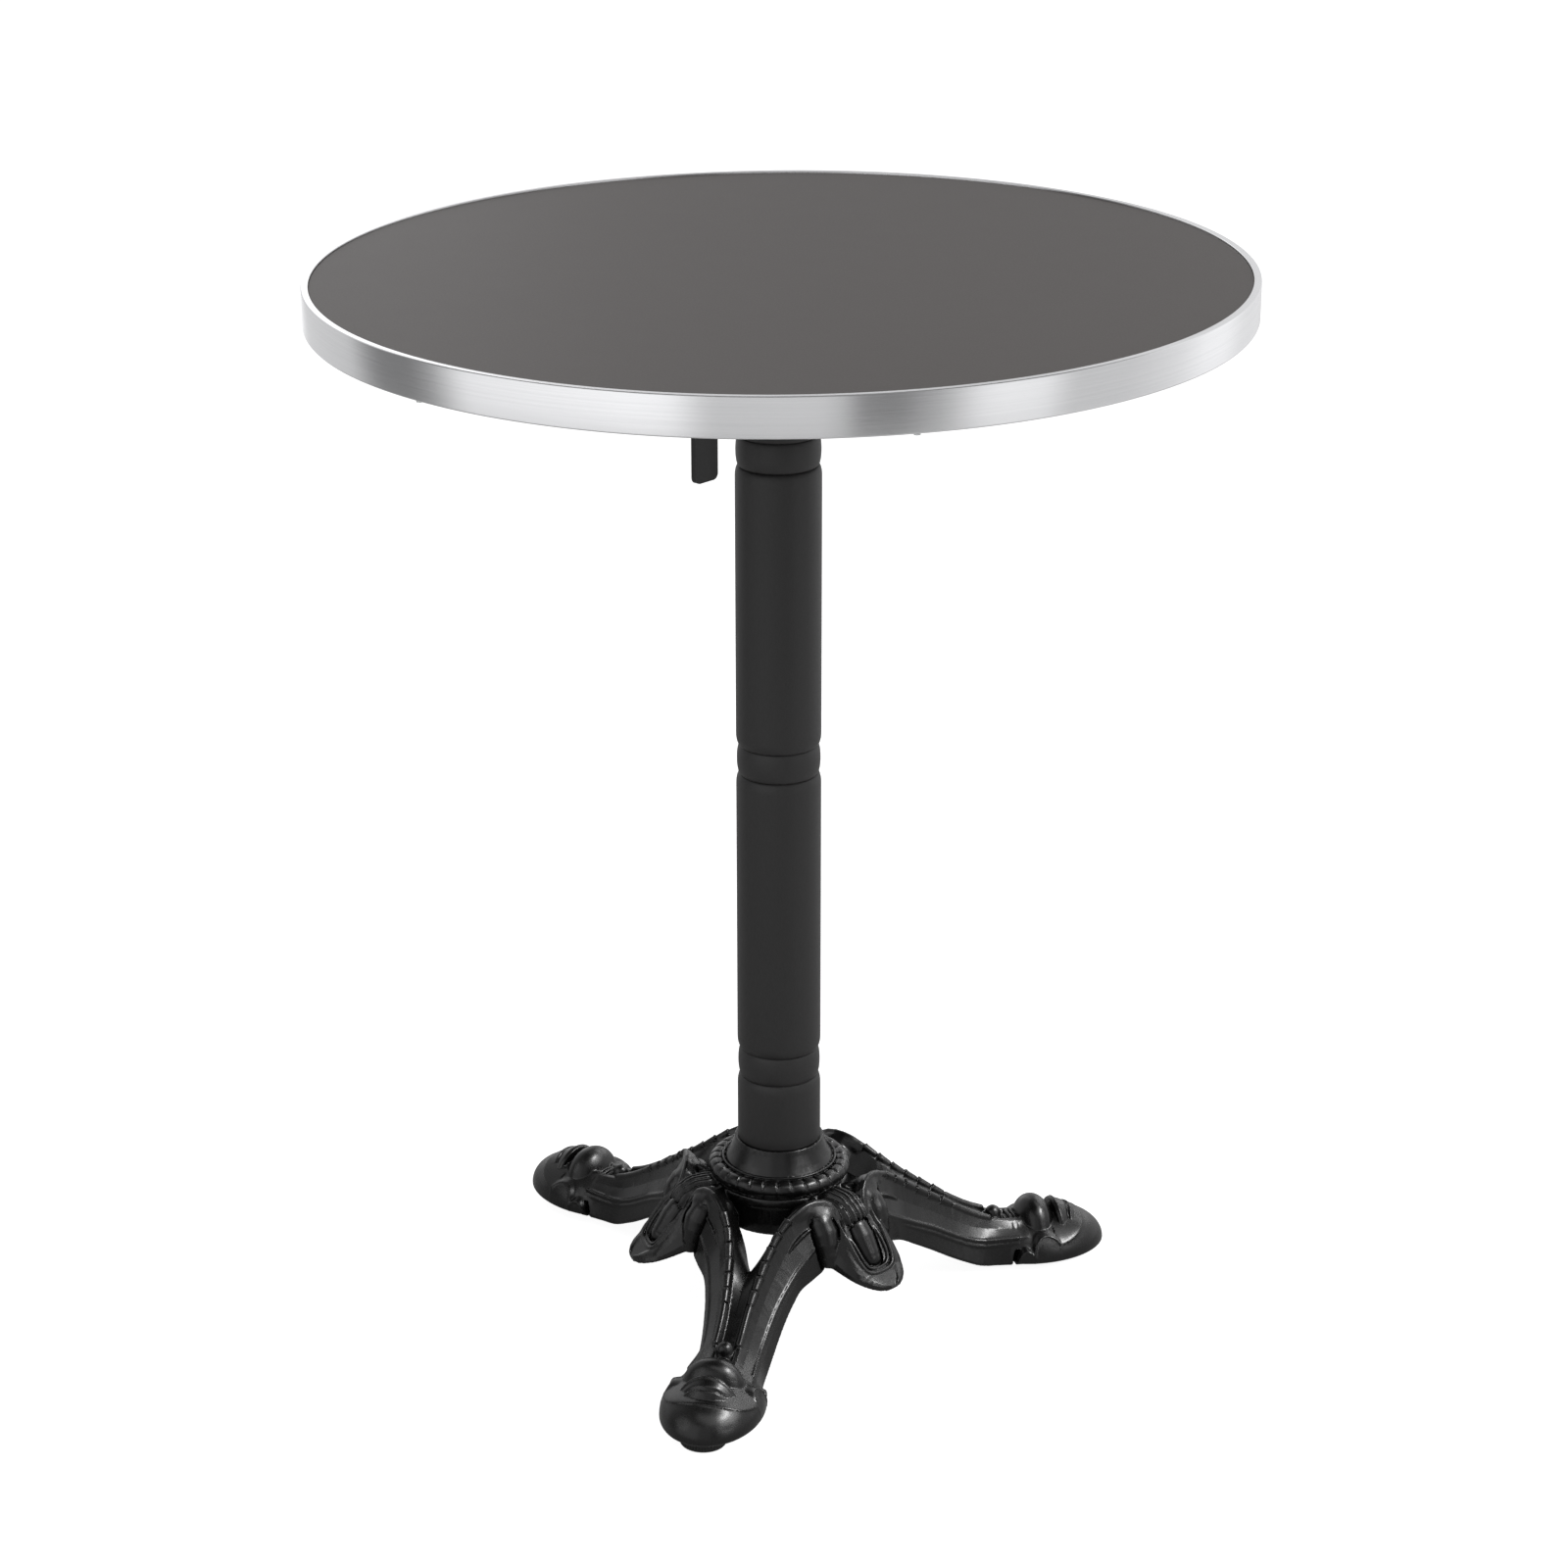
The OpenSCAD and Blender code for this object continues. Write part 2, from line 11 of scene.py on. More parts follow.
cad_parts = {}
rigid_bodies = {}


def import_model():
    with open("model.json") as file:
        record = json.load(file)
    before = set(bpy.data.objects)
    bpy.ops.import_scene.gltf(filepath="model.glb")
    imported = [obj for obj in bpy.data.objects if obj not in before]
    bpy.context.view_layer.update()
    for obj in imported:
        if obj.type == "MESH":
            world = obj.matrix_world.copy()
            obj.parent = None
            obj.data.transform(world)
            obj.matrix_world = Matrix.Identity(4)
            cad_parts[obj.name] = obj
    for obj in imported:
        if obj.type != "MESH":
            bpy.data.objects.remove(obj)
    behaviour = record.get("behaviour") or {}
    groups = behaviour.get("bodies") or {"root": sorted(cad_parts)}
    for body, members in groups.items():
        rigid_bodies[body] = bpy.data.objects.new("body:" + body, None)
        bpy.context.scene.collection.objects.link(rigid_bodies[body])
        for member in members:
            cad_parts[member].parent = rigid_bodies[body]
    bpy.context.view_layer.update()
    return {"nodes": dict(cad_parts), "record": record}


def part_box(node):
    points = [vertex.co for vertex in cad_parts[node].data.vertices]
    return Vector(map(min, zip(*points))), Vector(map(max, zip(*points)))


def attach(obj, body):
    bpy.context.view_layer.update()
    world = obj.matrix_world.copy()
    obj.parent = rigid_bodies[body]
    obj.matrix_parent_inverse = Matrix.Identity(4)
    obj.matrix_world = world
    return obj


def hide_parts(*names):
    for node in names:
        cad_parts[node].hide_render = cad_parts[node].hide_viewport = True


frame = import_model()
MM = 0.001

# measurements taken from the frame, in millimetres
lo_band, hi_band = (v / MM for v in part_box("edge_band"))
lo_lam, hi_lam = (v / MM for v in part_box("top_laminate"))
lo_core, hi_core = (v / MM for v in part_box("top_core"))
lo_bal, hi_bal = (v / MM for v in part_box("balance_laminate"))
lo_col, hi_col = (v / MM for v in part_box("column"))
lo_lev, hi_lev = (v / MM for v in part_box("latch_lever"))
lo_pin, hi_pin = (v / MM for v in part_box("latch_pin"))
lo_pad, hi_pad = (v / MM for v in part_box("front_glide_pad"))
lo_base, hi_base = (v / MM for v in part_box("base_casting"))
TOP_R = 0.5 * (hi_band[1] - lo_band[1])
LAM_R = 0.5 * (hi_lam[1] - lo_lam[1])
COL_R = 0.5 * (hi_col[1] - lo_col[1])
VIEW_AZ = math.radians(43.5)  # the photographed view turned into the frame

# ---------------------------------------------------------------- base casting: implicit surface
F = np.float32


def ell(x, y, z, c, r):
    """Distance-like value of an ellipsoid."""
    px, py, pz = (x - c[0]) / r[0], (y - c[1]) / r[1], (z - c[2]) / r[2]
    k0 = np.sqrt(px * px + py * py + pz * pz)
    k1 = np.sqrt((px / r[0]) ** 2 + (py / r[1]) ** 2 + (pz / r[2]) ** 2) + 1e-6
    return k0 * (k0 - 1.0) / k1


def smin(a, b, k):
    h = np.maximum(k - np.abs(a - b), 0.0) / k
    return np.minimum(a, b) - h * h * k * 0.25


def smax(a, b, k):
    return -smin(-a, -b, k)


def tube(x, y, z, pts, radii):
    """Round tube along a polyline whose radius changes from point to point; also returns the length along it."""
    best = np.full(x.shape, 1e3, F)
    along = np.zeros(x.shape, F)
    s0 = 0.0
    for (a, b, ra, rb) in zip(pts[:-1], pts[1:], radii[:-1], radii[1:]):
        a, b = np.array(a, float), np.array(b, float)
        d = b - a
        L2 = float(d @ d)
        t = ((x - a[0]) * d[0] + (y - a[1]) * d[1] + (z - a[2]) * d[2]) / L2
        t = np.clip(t, 0, 1)
        dd = np.sqrt((x - a[0] - t * d[0]) ** 2 + (y - a[1] - t * d[1]) ** 2 + (z - a[2] - t * d[2]) ** 2) - (ra + (rb - ra) * t)
        m = dd < best
        best = np.where(m, dd, best)
        L = math.sqrt(L2)
        along = np.where(m, s0 + t * L, along)
        s0 += L
    return best, along


def poly2(px, py, V):
    """Signed distance to a closed polygon in a plane; each corner may be an array that changes from point to point."""
    n = len(V)
    d = np.full(px.shape, 1e9, F)
    inside = np.zeros(px.shape, bool)
    for i in range(n):
        ax, ay = V[i]
        bx, by = V[(i + 1) % n]
        ex, ey = bx - ax, by - ay
        wx, wy = px - ax, py - ay
        t = np.clip((wx * ex + wy * ey) / (ex * ex + ey * ey + 1e-9), 0, 1)
        dx, dy = wx - t * ex, wy - t * ey
        d = np.minimum(d, dx * dx + dy * dy)
        c = (ay > py) != (by > py)
        with np.errstate(divide="ignore", invalid="ignore"):
            xi = ax + (py - ay) * ex / np.where(np.abs(ey) < 1e-9, 1e-9, ey)
        inside ^= c & (px < xi)
    d = np.sqrt(d)
    return np.where(inside, -d, d)


# stations of one arm: distance out, ridge (offset, height), belt line (offset, height), lower outer edge, inner edge, underside
ARM = np.array([
    #  x    ry    rz    gy    gz    by    bz    vy    vz    uz
    [34, 31.0, 89.5, 36.0, 76.0, 37.0, 66.0, 22.0, 72.0, 63.0],
    [44, 34.0, 93.0, 39.5, 78.0, 40.5, 60.0, 19.0, 74.0, 60.0],
    [52, 34.0, 94.6, 41.0, 77.0, 43.0, 55.0, 17.0, 74.0, 57.0],
    [60, 29.0, 93.4, 42.0, 71.0, 45.0, 50.0, 12.5, 70.0, 53.0],
    [68, 22.5, 88.4, 37.0, 64.0, 40.5, 46.5, 8.0, 64.0, 49.0],
    [78, 17.0, 81.0, 31.0, 57.0, 33.5, 41.8, 3.6, 57.0, 45.0],
    [90, 13.5, 72.0, 26.8, 50.0, 29.5, 34.5, -2.0, 53.0, 42.5],
    [104, 11.0, 62.5, 23.2, 42.8, 26.8, 26.3, -5.0, 52.0, 38.0],
    [116, 9.4, 54.8, 21.0, 35.6, 25.2, 19.0, -5.0, 48.0, 33.0],
    [127, 8.4, 47.8, 19.8, 29.6, 24.3, 13.2, -5.0, 43.0, 28.0],
    [141, 8.0, 40.0, 19.2, 24.5, 23.4, 7.2, -5.0, 35.0, 20.0],
    [152, 8.0, 35.6, 20.0, 24.0, 24.0, 6.2, -5.0, 31.0, 15.0],
    [166, 8.5, 33.0, 21.5, 24.3, 26.5, 6.0, -5.0, 30.0, 13.0],
    [182, 8.5, 32.0, 22.0, 24.3, 27.0, 6.0, -5.0, 30.0, 13.0],
])


def spline(xs, ys, x):
    """Smooth interpolation of a table (cubic Hermite with finite-difference slopes)."""
    m = np.gradient(ys, xs)
    i = np.clip(np.searchsorted(xs, x) - 1, 0, len(xs) - 2)
    h = xs[i + 1] - xs[i]
    t = np.clip((x - xs[i]) / h, 0, 1)
    t2, t3 = t * t, t * t * t
    return ((2 * t3 - 3 * t2 + 1) * ys[i] + (t3 - 2 * t2 + t) * h * m[i] + (-2 * t3 + 3 * t2) * ys[i + 1] + (t3 - t2) * h * m[i + 1])


_fine = np.linspace(34, 182, 371)
_tab = {k: spline(ARM[:, 0], ARM[:, j], _fine) for j, k in enumerate(["x", "ry", "rz", "gy", "gz", "by", "bz", "vy", "vz", "uz"]) if j}


def arm_sdf(x, y, z):
    xc = np.clip(x, 34, 182)
    g = {k: np.interp(xc, _fine, v).astype(F) for k, v in _tab.items()}
    ry, rz, gy, gz, by, bz, vy, vz, uz = (g[k] for k in ("ry", "rz", "gy", "gz", "by", "bz", "vy", "vz", "uz"))
    # outer face: slightly hollow between the ridge and the belt line
    mx, mz = 0.5 * (ry + gy) - 0.9, 0.5 * (rz + gz) - 0.5
    V = [(vy, vz), (ry - 3.4, rz - 3.6), (ry - 1.0, rz - 0.6), (ry + 1.4, rz - 0.9), (mx, mz), (gy, gz), (by, bz + 1.5),
         (by - 1.5, bz), (by - 6.5, bz + 0.5), (0.45 * by + 0.55 * vy, 0.35 * bz + 0.65 * uz), (vy, uz)]
    slope = np.interp(xc, _fine, np.gradient(_tab["rz"], _fine)).astype(F)
    sy = np.interp(xc, _fine, np.gradient(_tab["ry"], _fine)).astype(F)
    d = poly2(y, z, V) / np.sqrt(1 + 0.6 * slope * slope + 0.5 * sy * sy)
    d = smax(d, np.maximum(34 - x, x - 176), 3.0)
    return d - 0.6


RIDGE = [(x, float(np.interp(x, _fine, _tab["ry"])), float(np.interp(x, _fine, _tab["rz"]))) for x in
         (56, 59, 62, 66, 70, 75, 80, 86, 92, 98, 104, 110, 116, 122, 128, 135, 142, 150)]
BELT = [(x, float(np.interp(x, _fine, _tab["gy"])), float(np.interp(x, _fine, _tab["gz"]))) for x in
        (62, 68, 74, 80, 88, 96, 104, 112, 120, 128, 136, 144, 152, 160, 167)]


def ring_profile():
    P = [(0, 61), (40, 61), (42, 63), (43, 70), (43.6, 81.6), (44.2, 82.6), (46.2, 83.6), (46.9, 85.4), (46.9, 88.6), (46.2, 90.2), (43.5, 91.2)]
    P += [(37.2, 101.0), (36.6, 103.0), (34.2, 106.8), (32.4, 111), (31.0, 115), (30.3, 118.2), (30.0, 118.7), (23.9, 118.7), (23.9, 131.7), (22.9, 132.7), (0, 132.7)]
    return P


HUB = ring_profile()
N_GAD = 30
# hanging leaf: rim of its sole and upper edge of its cup (distance out, half width, height)
LEAF_RIM = np.array([[44, 33, 66], [60, 30.5, 60], [70, 29.3, 55.6], [75.6, 28.1, 53.0], [80, 26.8, 51.0], [84.8, 25.3, 48.8], [90.3, 23.0, 46.2], [95.5, 20.0, 43.8],
                     [100.1, 16.1, 41.8], [103.6, 11.4, 40.2], [105.8, 5.9, 39.2], [106.6, 0.6, 38.9], [110, 0.3, 38.9]])
LEAF_TOP = np.array([[44, 14, 90], [60, 15, 88], [70, 15.8, 81], [76, 16.1, 73.5], [80, 16.0, 68.6], [84, 15.9, 63.1], [88, 15.3, 57.7], [91, 14.4, 53.9], [93, 12.9, 51.1],
                     [95.2, 9.5, 47.9], [98, 8.5, 46.4], [101, 7.0, 44.3], [104, 4.4, 41.8], [106, 2.0, 39.8], [106.6, 0.3, 39.2], [110, 0.1, 39.0]])
LIP_IN = [(73.2, 12.4, 70.6), (77, 12.3, 69.4), (80.7, 12.1, 66.4), (84.1, 12.0, 62.6), (87.2, 11.7, 58.6), (89.7, 11.0, 54.9), (91.6, 9.3, 52.1), (92.7, 6.2, 50.4), (93.1, 3, 49.8), (93.2, 0, 49.7)]
LIP_OUT = [(74.5, 15.6, 74.5), (78.2, 16.1, 71.0), (83.7, 15.9, 63.5), (87.7, 15.3, 58.1), (90.6, 14.4, 54.3), (92.6, 13.0, 51.5), (94.2, 10.8, 49.6), (95.1, 7.6, 48.5), (95.5, 4, 48.0), (95.6, 0, 47.9)]


def bead(f, g, r):
    """Thin raised line where two surfaces cross."""
    return np.sqrt(f * f + g * g) - r


def near(mask, fn, d, k, *args):
    """Joins a detail to the solid only where it can matter."""
    if mask.any():
        d[mask] = fn(d[mask], *(q[mask] for q in args))
    return d


def add(k, f):
    return lambda d, *q: smin(d, f(*q), k)


def leaf_part(d, l, m, z):
    lc = np.clip(l, 44, 110)
    rm, rz = np.interp(lc, LEAF_RIM[:, 0], LEAF_RIM[:, 1]).astype(F), np.interp(lc, LEAF_RIM[:, 0], LEAF_RIM[:, 2]).astype(F)
    tm, tz = np.interp(lc, LEAF_TOP[:, 0], LEAF_TOP[:, 1]).astype(F), np.interp(lc, LEAF_TOP[:, 0], LEAF_TOP[:, 2]).astype(F)
    cup = np.where(lc < 95.2, np.clip((95.2 - lc) / 3, 0, 1) * 2.6, 0).astype(F)
    nx, nz = (tz - rz), (rm - tm)
    nn = np.sqrt(nx * nx + nz * nz) + 1e-3
    bx, bz = 0.5 * (rm + tm) + 2.3 * nx / nn, 0.5 * (rz + tz) + 2.3 * nz / nn
    ax_, az_ = 0.25 * rm + 0.75 * tm + 1.7 * nx / nn, 0.25 * rz + 0.75 * tz + 1.7 * nz / nn
    cx_, cz_ = 0.8 * rm + 0.2 * tm + 1.7 * nx / nn, 0.8 * rz + 0.2 * tz + 1.7 * nz / nn
    low = np.interp(lc, [44, 60, 76, 95, 110], [58, 53, 50, 42.5, 37.9]).astype(F)
    V = [(-6 + 0 * tm, tz - cup), (tm - 2.2, tz - cup), (tm, tz), (ax_, az_), (bx, bz), (cx_, cz_), (rm, rz + 0.4), (rm - 0.8, rz - 0.6), (-6 + 0 * tm, low)]
    leaf = poly2(m, z, V) * np.interp(lc, [44, 66, 74, 95, 103, 107], [0.9, 0.8, 0.62, 0.72, 0.7, 0.45]).astype(F) - 0.3
    leaf = smax(leaf, l - 106.9, 2.0)
    leaf = smax(leaf, 44 - l, 3)
    d = smin(d, leaf, 1.4)
    # groove and tongue
    tongue, _ = tube(l, m, z, TONGUE, [6.0, 8.4, 9.2, 9.2, 8.6, 7.6])
    d = smax(d, -np.maximum(tongue - 1.5 + 20 * (l < 69), low + 5.5 - z), 0.8)
    d = smin(d, smax(tongue, low + 3.0 - z, 1.0), 0.7)
    lin, _ = tube(l, m, z, LIP_IN, [0.5, 1.0] + [1.15] * 8)
    lou, _ = tube(l, m, z, LIP_OUT, [0.5, 1.2] + [1.4] * 8)
    return smin(d, smin(lin, lou, 0.6), 1.0)


TONGUE = [(66, 0, 76.5), (71.4, 0, 71.2), (75.0, 0, 65.8), (78.0, 0, 60.6), (81.2, 0, 56.2), (83.6, 0, 53.6)]
ARCH = [(54.0, 43.5, 90.6), (54.9, 38.4, 93.2), (56.0, 33, 94.8), (57.4, 27.2, 95.2), (59.4, 21.4, 94.0), (62.0, 16.4, 91.0), (64.8, 13.4, 86.6), (67.4, 12.4, 80.5), (69.4, 13.2, 74), (70.6, 15.6, 67.5), (71.2, 19, 61.5)]


def block_part(d, l, m, z):
    """Saddle between the two shoulders: rounded rolls that run over it from the ring to the cup."""
    b, s = tube(l, m, z, [(38, 0, 77), (44, 0, 78.6), (52, 0, 79.2), (58, 0, 78.8), (62.4, 0, 76.6), (65.6, 0, 72.4), (66.6, 0, 69.0)], [13.6, 14.0, 14.4, 14.4, 13.8, 12.6, 11.6])
    full, _ = tube(l, m, z, [(50, 30, 82), (56, 26, 84.0), (60, 20.5, 82.6), (63.2, 16, 78), (65.4, 14.5, 70)], [9.0, 9.4, 8.8, 7.4, 5.8])
    d = smin(d, full, 3.0)
    p = np.interp(s, [0, 12, 22, 30, 36], [5.6, 5.3, 4.8, 4.0, 3.6]).astype(F)
    roll = np.abs(np.cos(math.pi * m / p)) ** 0.8
    fade = np.clip((14.0 - m) / 2, 0, 1) * np.clip((z - 64) / 8, 0, 1)
    return smin(d, b - fade * (1.9 * roll - 0.9), 1.5)


def arch_part(d, l, m, z):
    fill, _ = tube(l, m, z, [(p[0] - 1.6, p[1], p[2] - 4.2) for p in ARCH[:8]], [2.5, 3.6, 4.4, 4.8, 4.8, 4.4, 3.6, 2.4])
    a, _ = tube(l, m, z, ARCH, [1.2, 1.8, 2.0, 2.1, 2.2, 2.2, 2.1, 2.0, 1.7, 1.3, 0.8])
    return smin(smin(d, fill, 3.0), a, 1.2)


def drop_part(d, l, m, z):
    drop, _ = tube(l, m, z, [(58.0, 25.6, 83.0), (62.0, 25.0, 79.6), (64.8, 25.0, 74.6), (67.0, 25.6, 68.6), (69.0, 26.2, 61.5), (70.4, 26.8, 55.2), (70.8, 27.0, 51)], [7.2, 8.6, 9.2, 8.7, 7.2, 5.5, 4.8])
    drop = smax(drop, 52.9 - z, 1.2)
    side = np.clip((np.abs(m - 25.4) - 2.5) / 4, 0, 1)
    d = smax(d, -(drop - 1.3 * side), 0.9)
    return smin(d, drop, 1.2)


def paw_part(d, x, y, z):
    # boat-shaped lower body with a raised edge
    zz = np.where(z > 10.0, (z - 10.0) * 0.985, (z - 10.0) * 2.9)
    low_b = ell(x, y, zz, (188.7, 0, 0.0), (48.2, 34.2, 24.8))
    zc = 31.0 - 0.0100 * y * y
    hd = np.sqrt(((x - 186.6) / 10.8) ** 2 + ((z - 15.5) / 11.2) ** 2) - 1  # half disc at the side
    hd2 = np.sqrt(((x - 171.5) / 6.6) ** 2 + ((z - 7.5) / 10.6) ** 2) - 1
    side = np.maximum(0.0, 15.0 - y)
    e = smin(np.maximum(z - zc, 194.5 - x), hd * 10.9 + side, 1.5)
    e = smin(e, hd2 * 8.0 + side, 1.5)
    e = smin(e, np.maximum(z - 12.5, 176 - x), 2.0)
    t = np.clip(0.5 + 0.5 * e / 1.0, 0, 1)
    step = t * t * (3 - 2 * t)
    front = np.clip((x - 201) / 5, 0, 1)
    paw = low_b + 2.4 * step - 0.9 * np.exp(-((e + 0.4) / 1.1) ** 2) - front * 0.7 * np.exp(-((e - 3.3) / 1.0) ** 2)
    paw = smax(paw, 162 - x, 2.0)
    # crescents: one rounded body with two steps, then the ball
    cres = ell(x, y, z, (194.0, 0, 10.0), (31.0, 23.0, 30.4))
    yy = np.clip(np.abs(y) / 14, 0, 1.3)
    w1, w2, w3 = 200.0 + 0.6 * yy, 210.6 - 2.8 * yy, 216.6 - 1.2 * yy
    mod = 1.0 * np.exp(-((x - w1 - 1.4) / 1.3) ** 2)
    for wv, dp, up in ((w2, 1.2, 0.8), (w3, 1.0, 0.7)):
        mod = mod - dp * np.exp(-((x - wv) / 1.1) ** 2) + up * np.exp(-((x - wv - 2.2) / 1.6) ** 2)
    cres = smax(cres - mod, w1 - 1.2 - x, 1.0)
    paw = smin(paw, cres, 0.5)
    ball = ell(x, y, z, (185.8, 0, 22.6), (14.2, 21.4, 21.6))
    paw = smin(paw, ball, 0.6)
    # wrist: cuffs and knob
    wr = ell(x, y, z, (168, 0, 11), (13, 20.8, 20.8))
    paw = smin(paw, wr, 0.9)
    for cxx, lean in ((163.6, 0.10), (167.6, 0.06), (171.4, 0.0)):
        px = cxx - lean * (34 - z)
        fo = bead(wr * 0.9 - 0.5, x - px, 1.25)
        fo = smax(fo, 23.0 - z, 1.0)
        paw = smin(paw, fo, 0.7)
    knob, _ = tube(x, y, z, [(155.2, 0, 24), (155.6, 0, 30), (156.2, 0, 35.2)], [8.4, 7.2, 5.6])
    paw = smin(paw, knob, 0.9)
    paw = smax(paw, 5.9 - z, 3.0)
    d = smin(d, paw, 1.3)
    # heel: curved cut between the arm's end and the small half disc
    cut = np.maximum(np.abs(hd2 * 6 - 1.1) - 0.8, np.maximum(z - 17.0, np.maximum(x - 169.5, 21.0 - y)))
    return smax(d, -cut, 1.2)


def trim_part(d, x, y, z):
    """Ridge with its row of long beads, the two belt lines and their groove, and the short crease."""
    rt, s = tube(x, y, z, RIDGE, [1.2, 1.6, 1.9, 2.1] + [2.2] * 14)
    seg = ((s - 17.0) / 11.4) % 1.0  # 0 at the upper end of a bead
    on = ((s > 17.0) & (s < 17.0 + 11.4 * 6)).astype(F)
    shape = 0.75 * (1 - seg) - 1.9 * np.clip((seg - 0.88) / 0.12, 0, 1) + 0.5 * np.clip(1 - seg / 0.14, 0, 1)
    d = smin(d, rt - on * shape, 1.2)
    b1, _ = tube(x, y, z, BELT, [0.6, 1.1] + [1.45] * 13)
    b2, _ = tube(x, y, z, [(p[0], p[1] + 0.7, p[2] - 3.6) for p in BELT[3:]], [0.4, 1.0] + [1.35] * 10)
    d = smin(d, smin(b1, b2, 0.4), 1.0)
    sc, _ = tube(x, y, z, [(59.8, 37.2, 80.6), (63.2, 34.4, 79.2), (67, 31.2, 76.8), (71.5, 28.0, 73.6), (77, 25.0, 69.4)], [0.5, 1.1, 1.4, 1.1, 0.3])
    return smin(d, sc, 1.2)


def base_sdf(X, Y, Z):
    """Signed distance (mm, approximate) of the whole casting."""
    rho = np.hypot(X, Y)
    az = np.arctan2(Y, X)
    # nearest foot axis (60, 180, 300 degrees) and its mirror fold
    ph = np.abs(az % math.radians(120) - math.radians(60))
    x, y, z = rho * np.cos(ph), rho * np.sin(ph), Z
    # leaf frame
    c60, s60 = 0.5, math.sqrt(3) / 2
    l = x * c60 + y * s60
    m = np.abs(x * s60 - y * c60)

    d = np.full(x.shape, 60.0, F)
    # arms
    near((x > 25) & (x < 190) & (y < 58), lambda q, *p: arm_sdf(*p), d, 0, x, y, z)

    near((l < 84) & (m < 42) & (z > 45), block_part, d, 0, l, m, z)
    near((l > 40) & (l < 118) & (m < 42) & (z > 28) & (z < 108), leaf_part, d, 0, l, m, z)
    near((x > 36) & (x < 176) & (y < 52) & (z > 10) & (z < 108), trim_part, d, 0, x, y, z)
    near((l > 44) & (l < 84) & (m > 12) & (m < 46) & (z > 42) & (z < 108), drop_part, d, 0, l, m, z)
    near((l > 44) & (l < 80) & (m > 10) & (m < 54) & (z > 50) & (z < 108), arch_part, d, 0, l, m, z)
    near((x > 138) & (y < 44) & (z < 58), paw_part, d, 0, x, y, z)

    # hub, lathe profile, and its ring of lobes
    def hub_part(q, rho, az, z):
        hub = poly2(rho, z, HUB)
        g = (az * N_GAD / (2 * math.pi)) % 1.0
        g = 1 - np.abs(g - 0.5) * 2  # 1 in the middle of a lobe, 0 at a notch
        th = np.arctan2(z - 96.6, rho - 42.3)
        deep = 0.40 + 1.0 * np.clip(np.sin(th - 0.15), 0, 1)
        notch = np.clip(1 - g / 0.22, 0, 1)
        roll = 5.9 - deep * notch ** 1.1 - 0.25 * deep * (1 - g) ** 2
        hub = smin(hub, np.sqrt((rho - 42.3) ** 2 + (z - 96.6) ** 2) - roll, 0.5)
        hub = smin(hub, np.sqrt((rho - 38.4) ** 2 + (z - 102.9) ** 2) - 0.9, 0.5)
        q = smin(q, hub, 1.6)
        # hollows for the rod, its nut and the core
        q = np.maximum(q, -(np.maximum(rho - 6.5, 50 - z)))
        q = np.maximum(q, -(np.maximum(rho - 16.0, z - 75)))
        return np.maximum(q, -(np.maximum(rho - 21.0, 82 - z)))
    near(rho < 66, hub_part, d, 0, rho, az, z)
    gr = np.hypot(x - 215, y)
    d = np.maximum(d, -(np.maximum(gr - 5.06, z - 24)))
    return np.maximum(d, -(np.maximum(gr - 11.4, z - 12))).astype(F)


def parallel(sdf, x, y, z, size=120000):
    """Evaluates the field in slices on several threads."""
    out = np.empty(x.shape, F)

    def run(s):
        out[s:s + size] = sdf(x[s:s + size], y[s:s + size], z[s:s + size])
    with ThreadPoolExecutor(4) as ex:
        list(ex.map(run, range(0, len(x), size)))
    return out


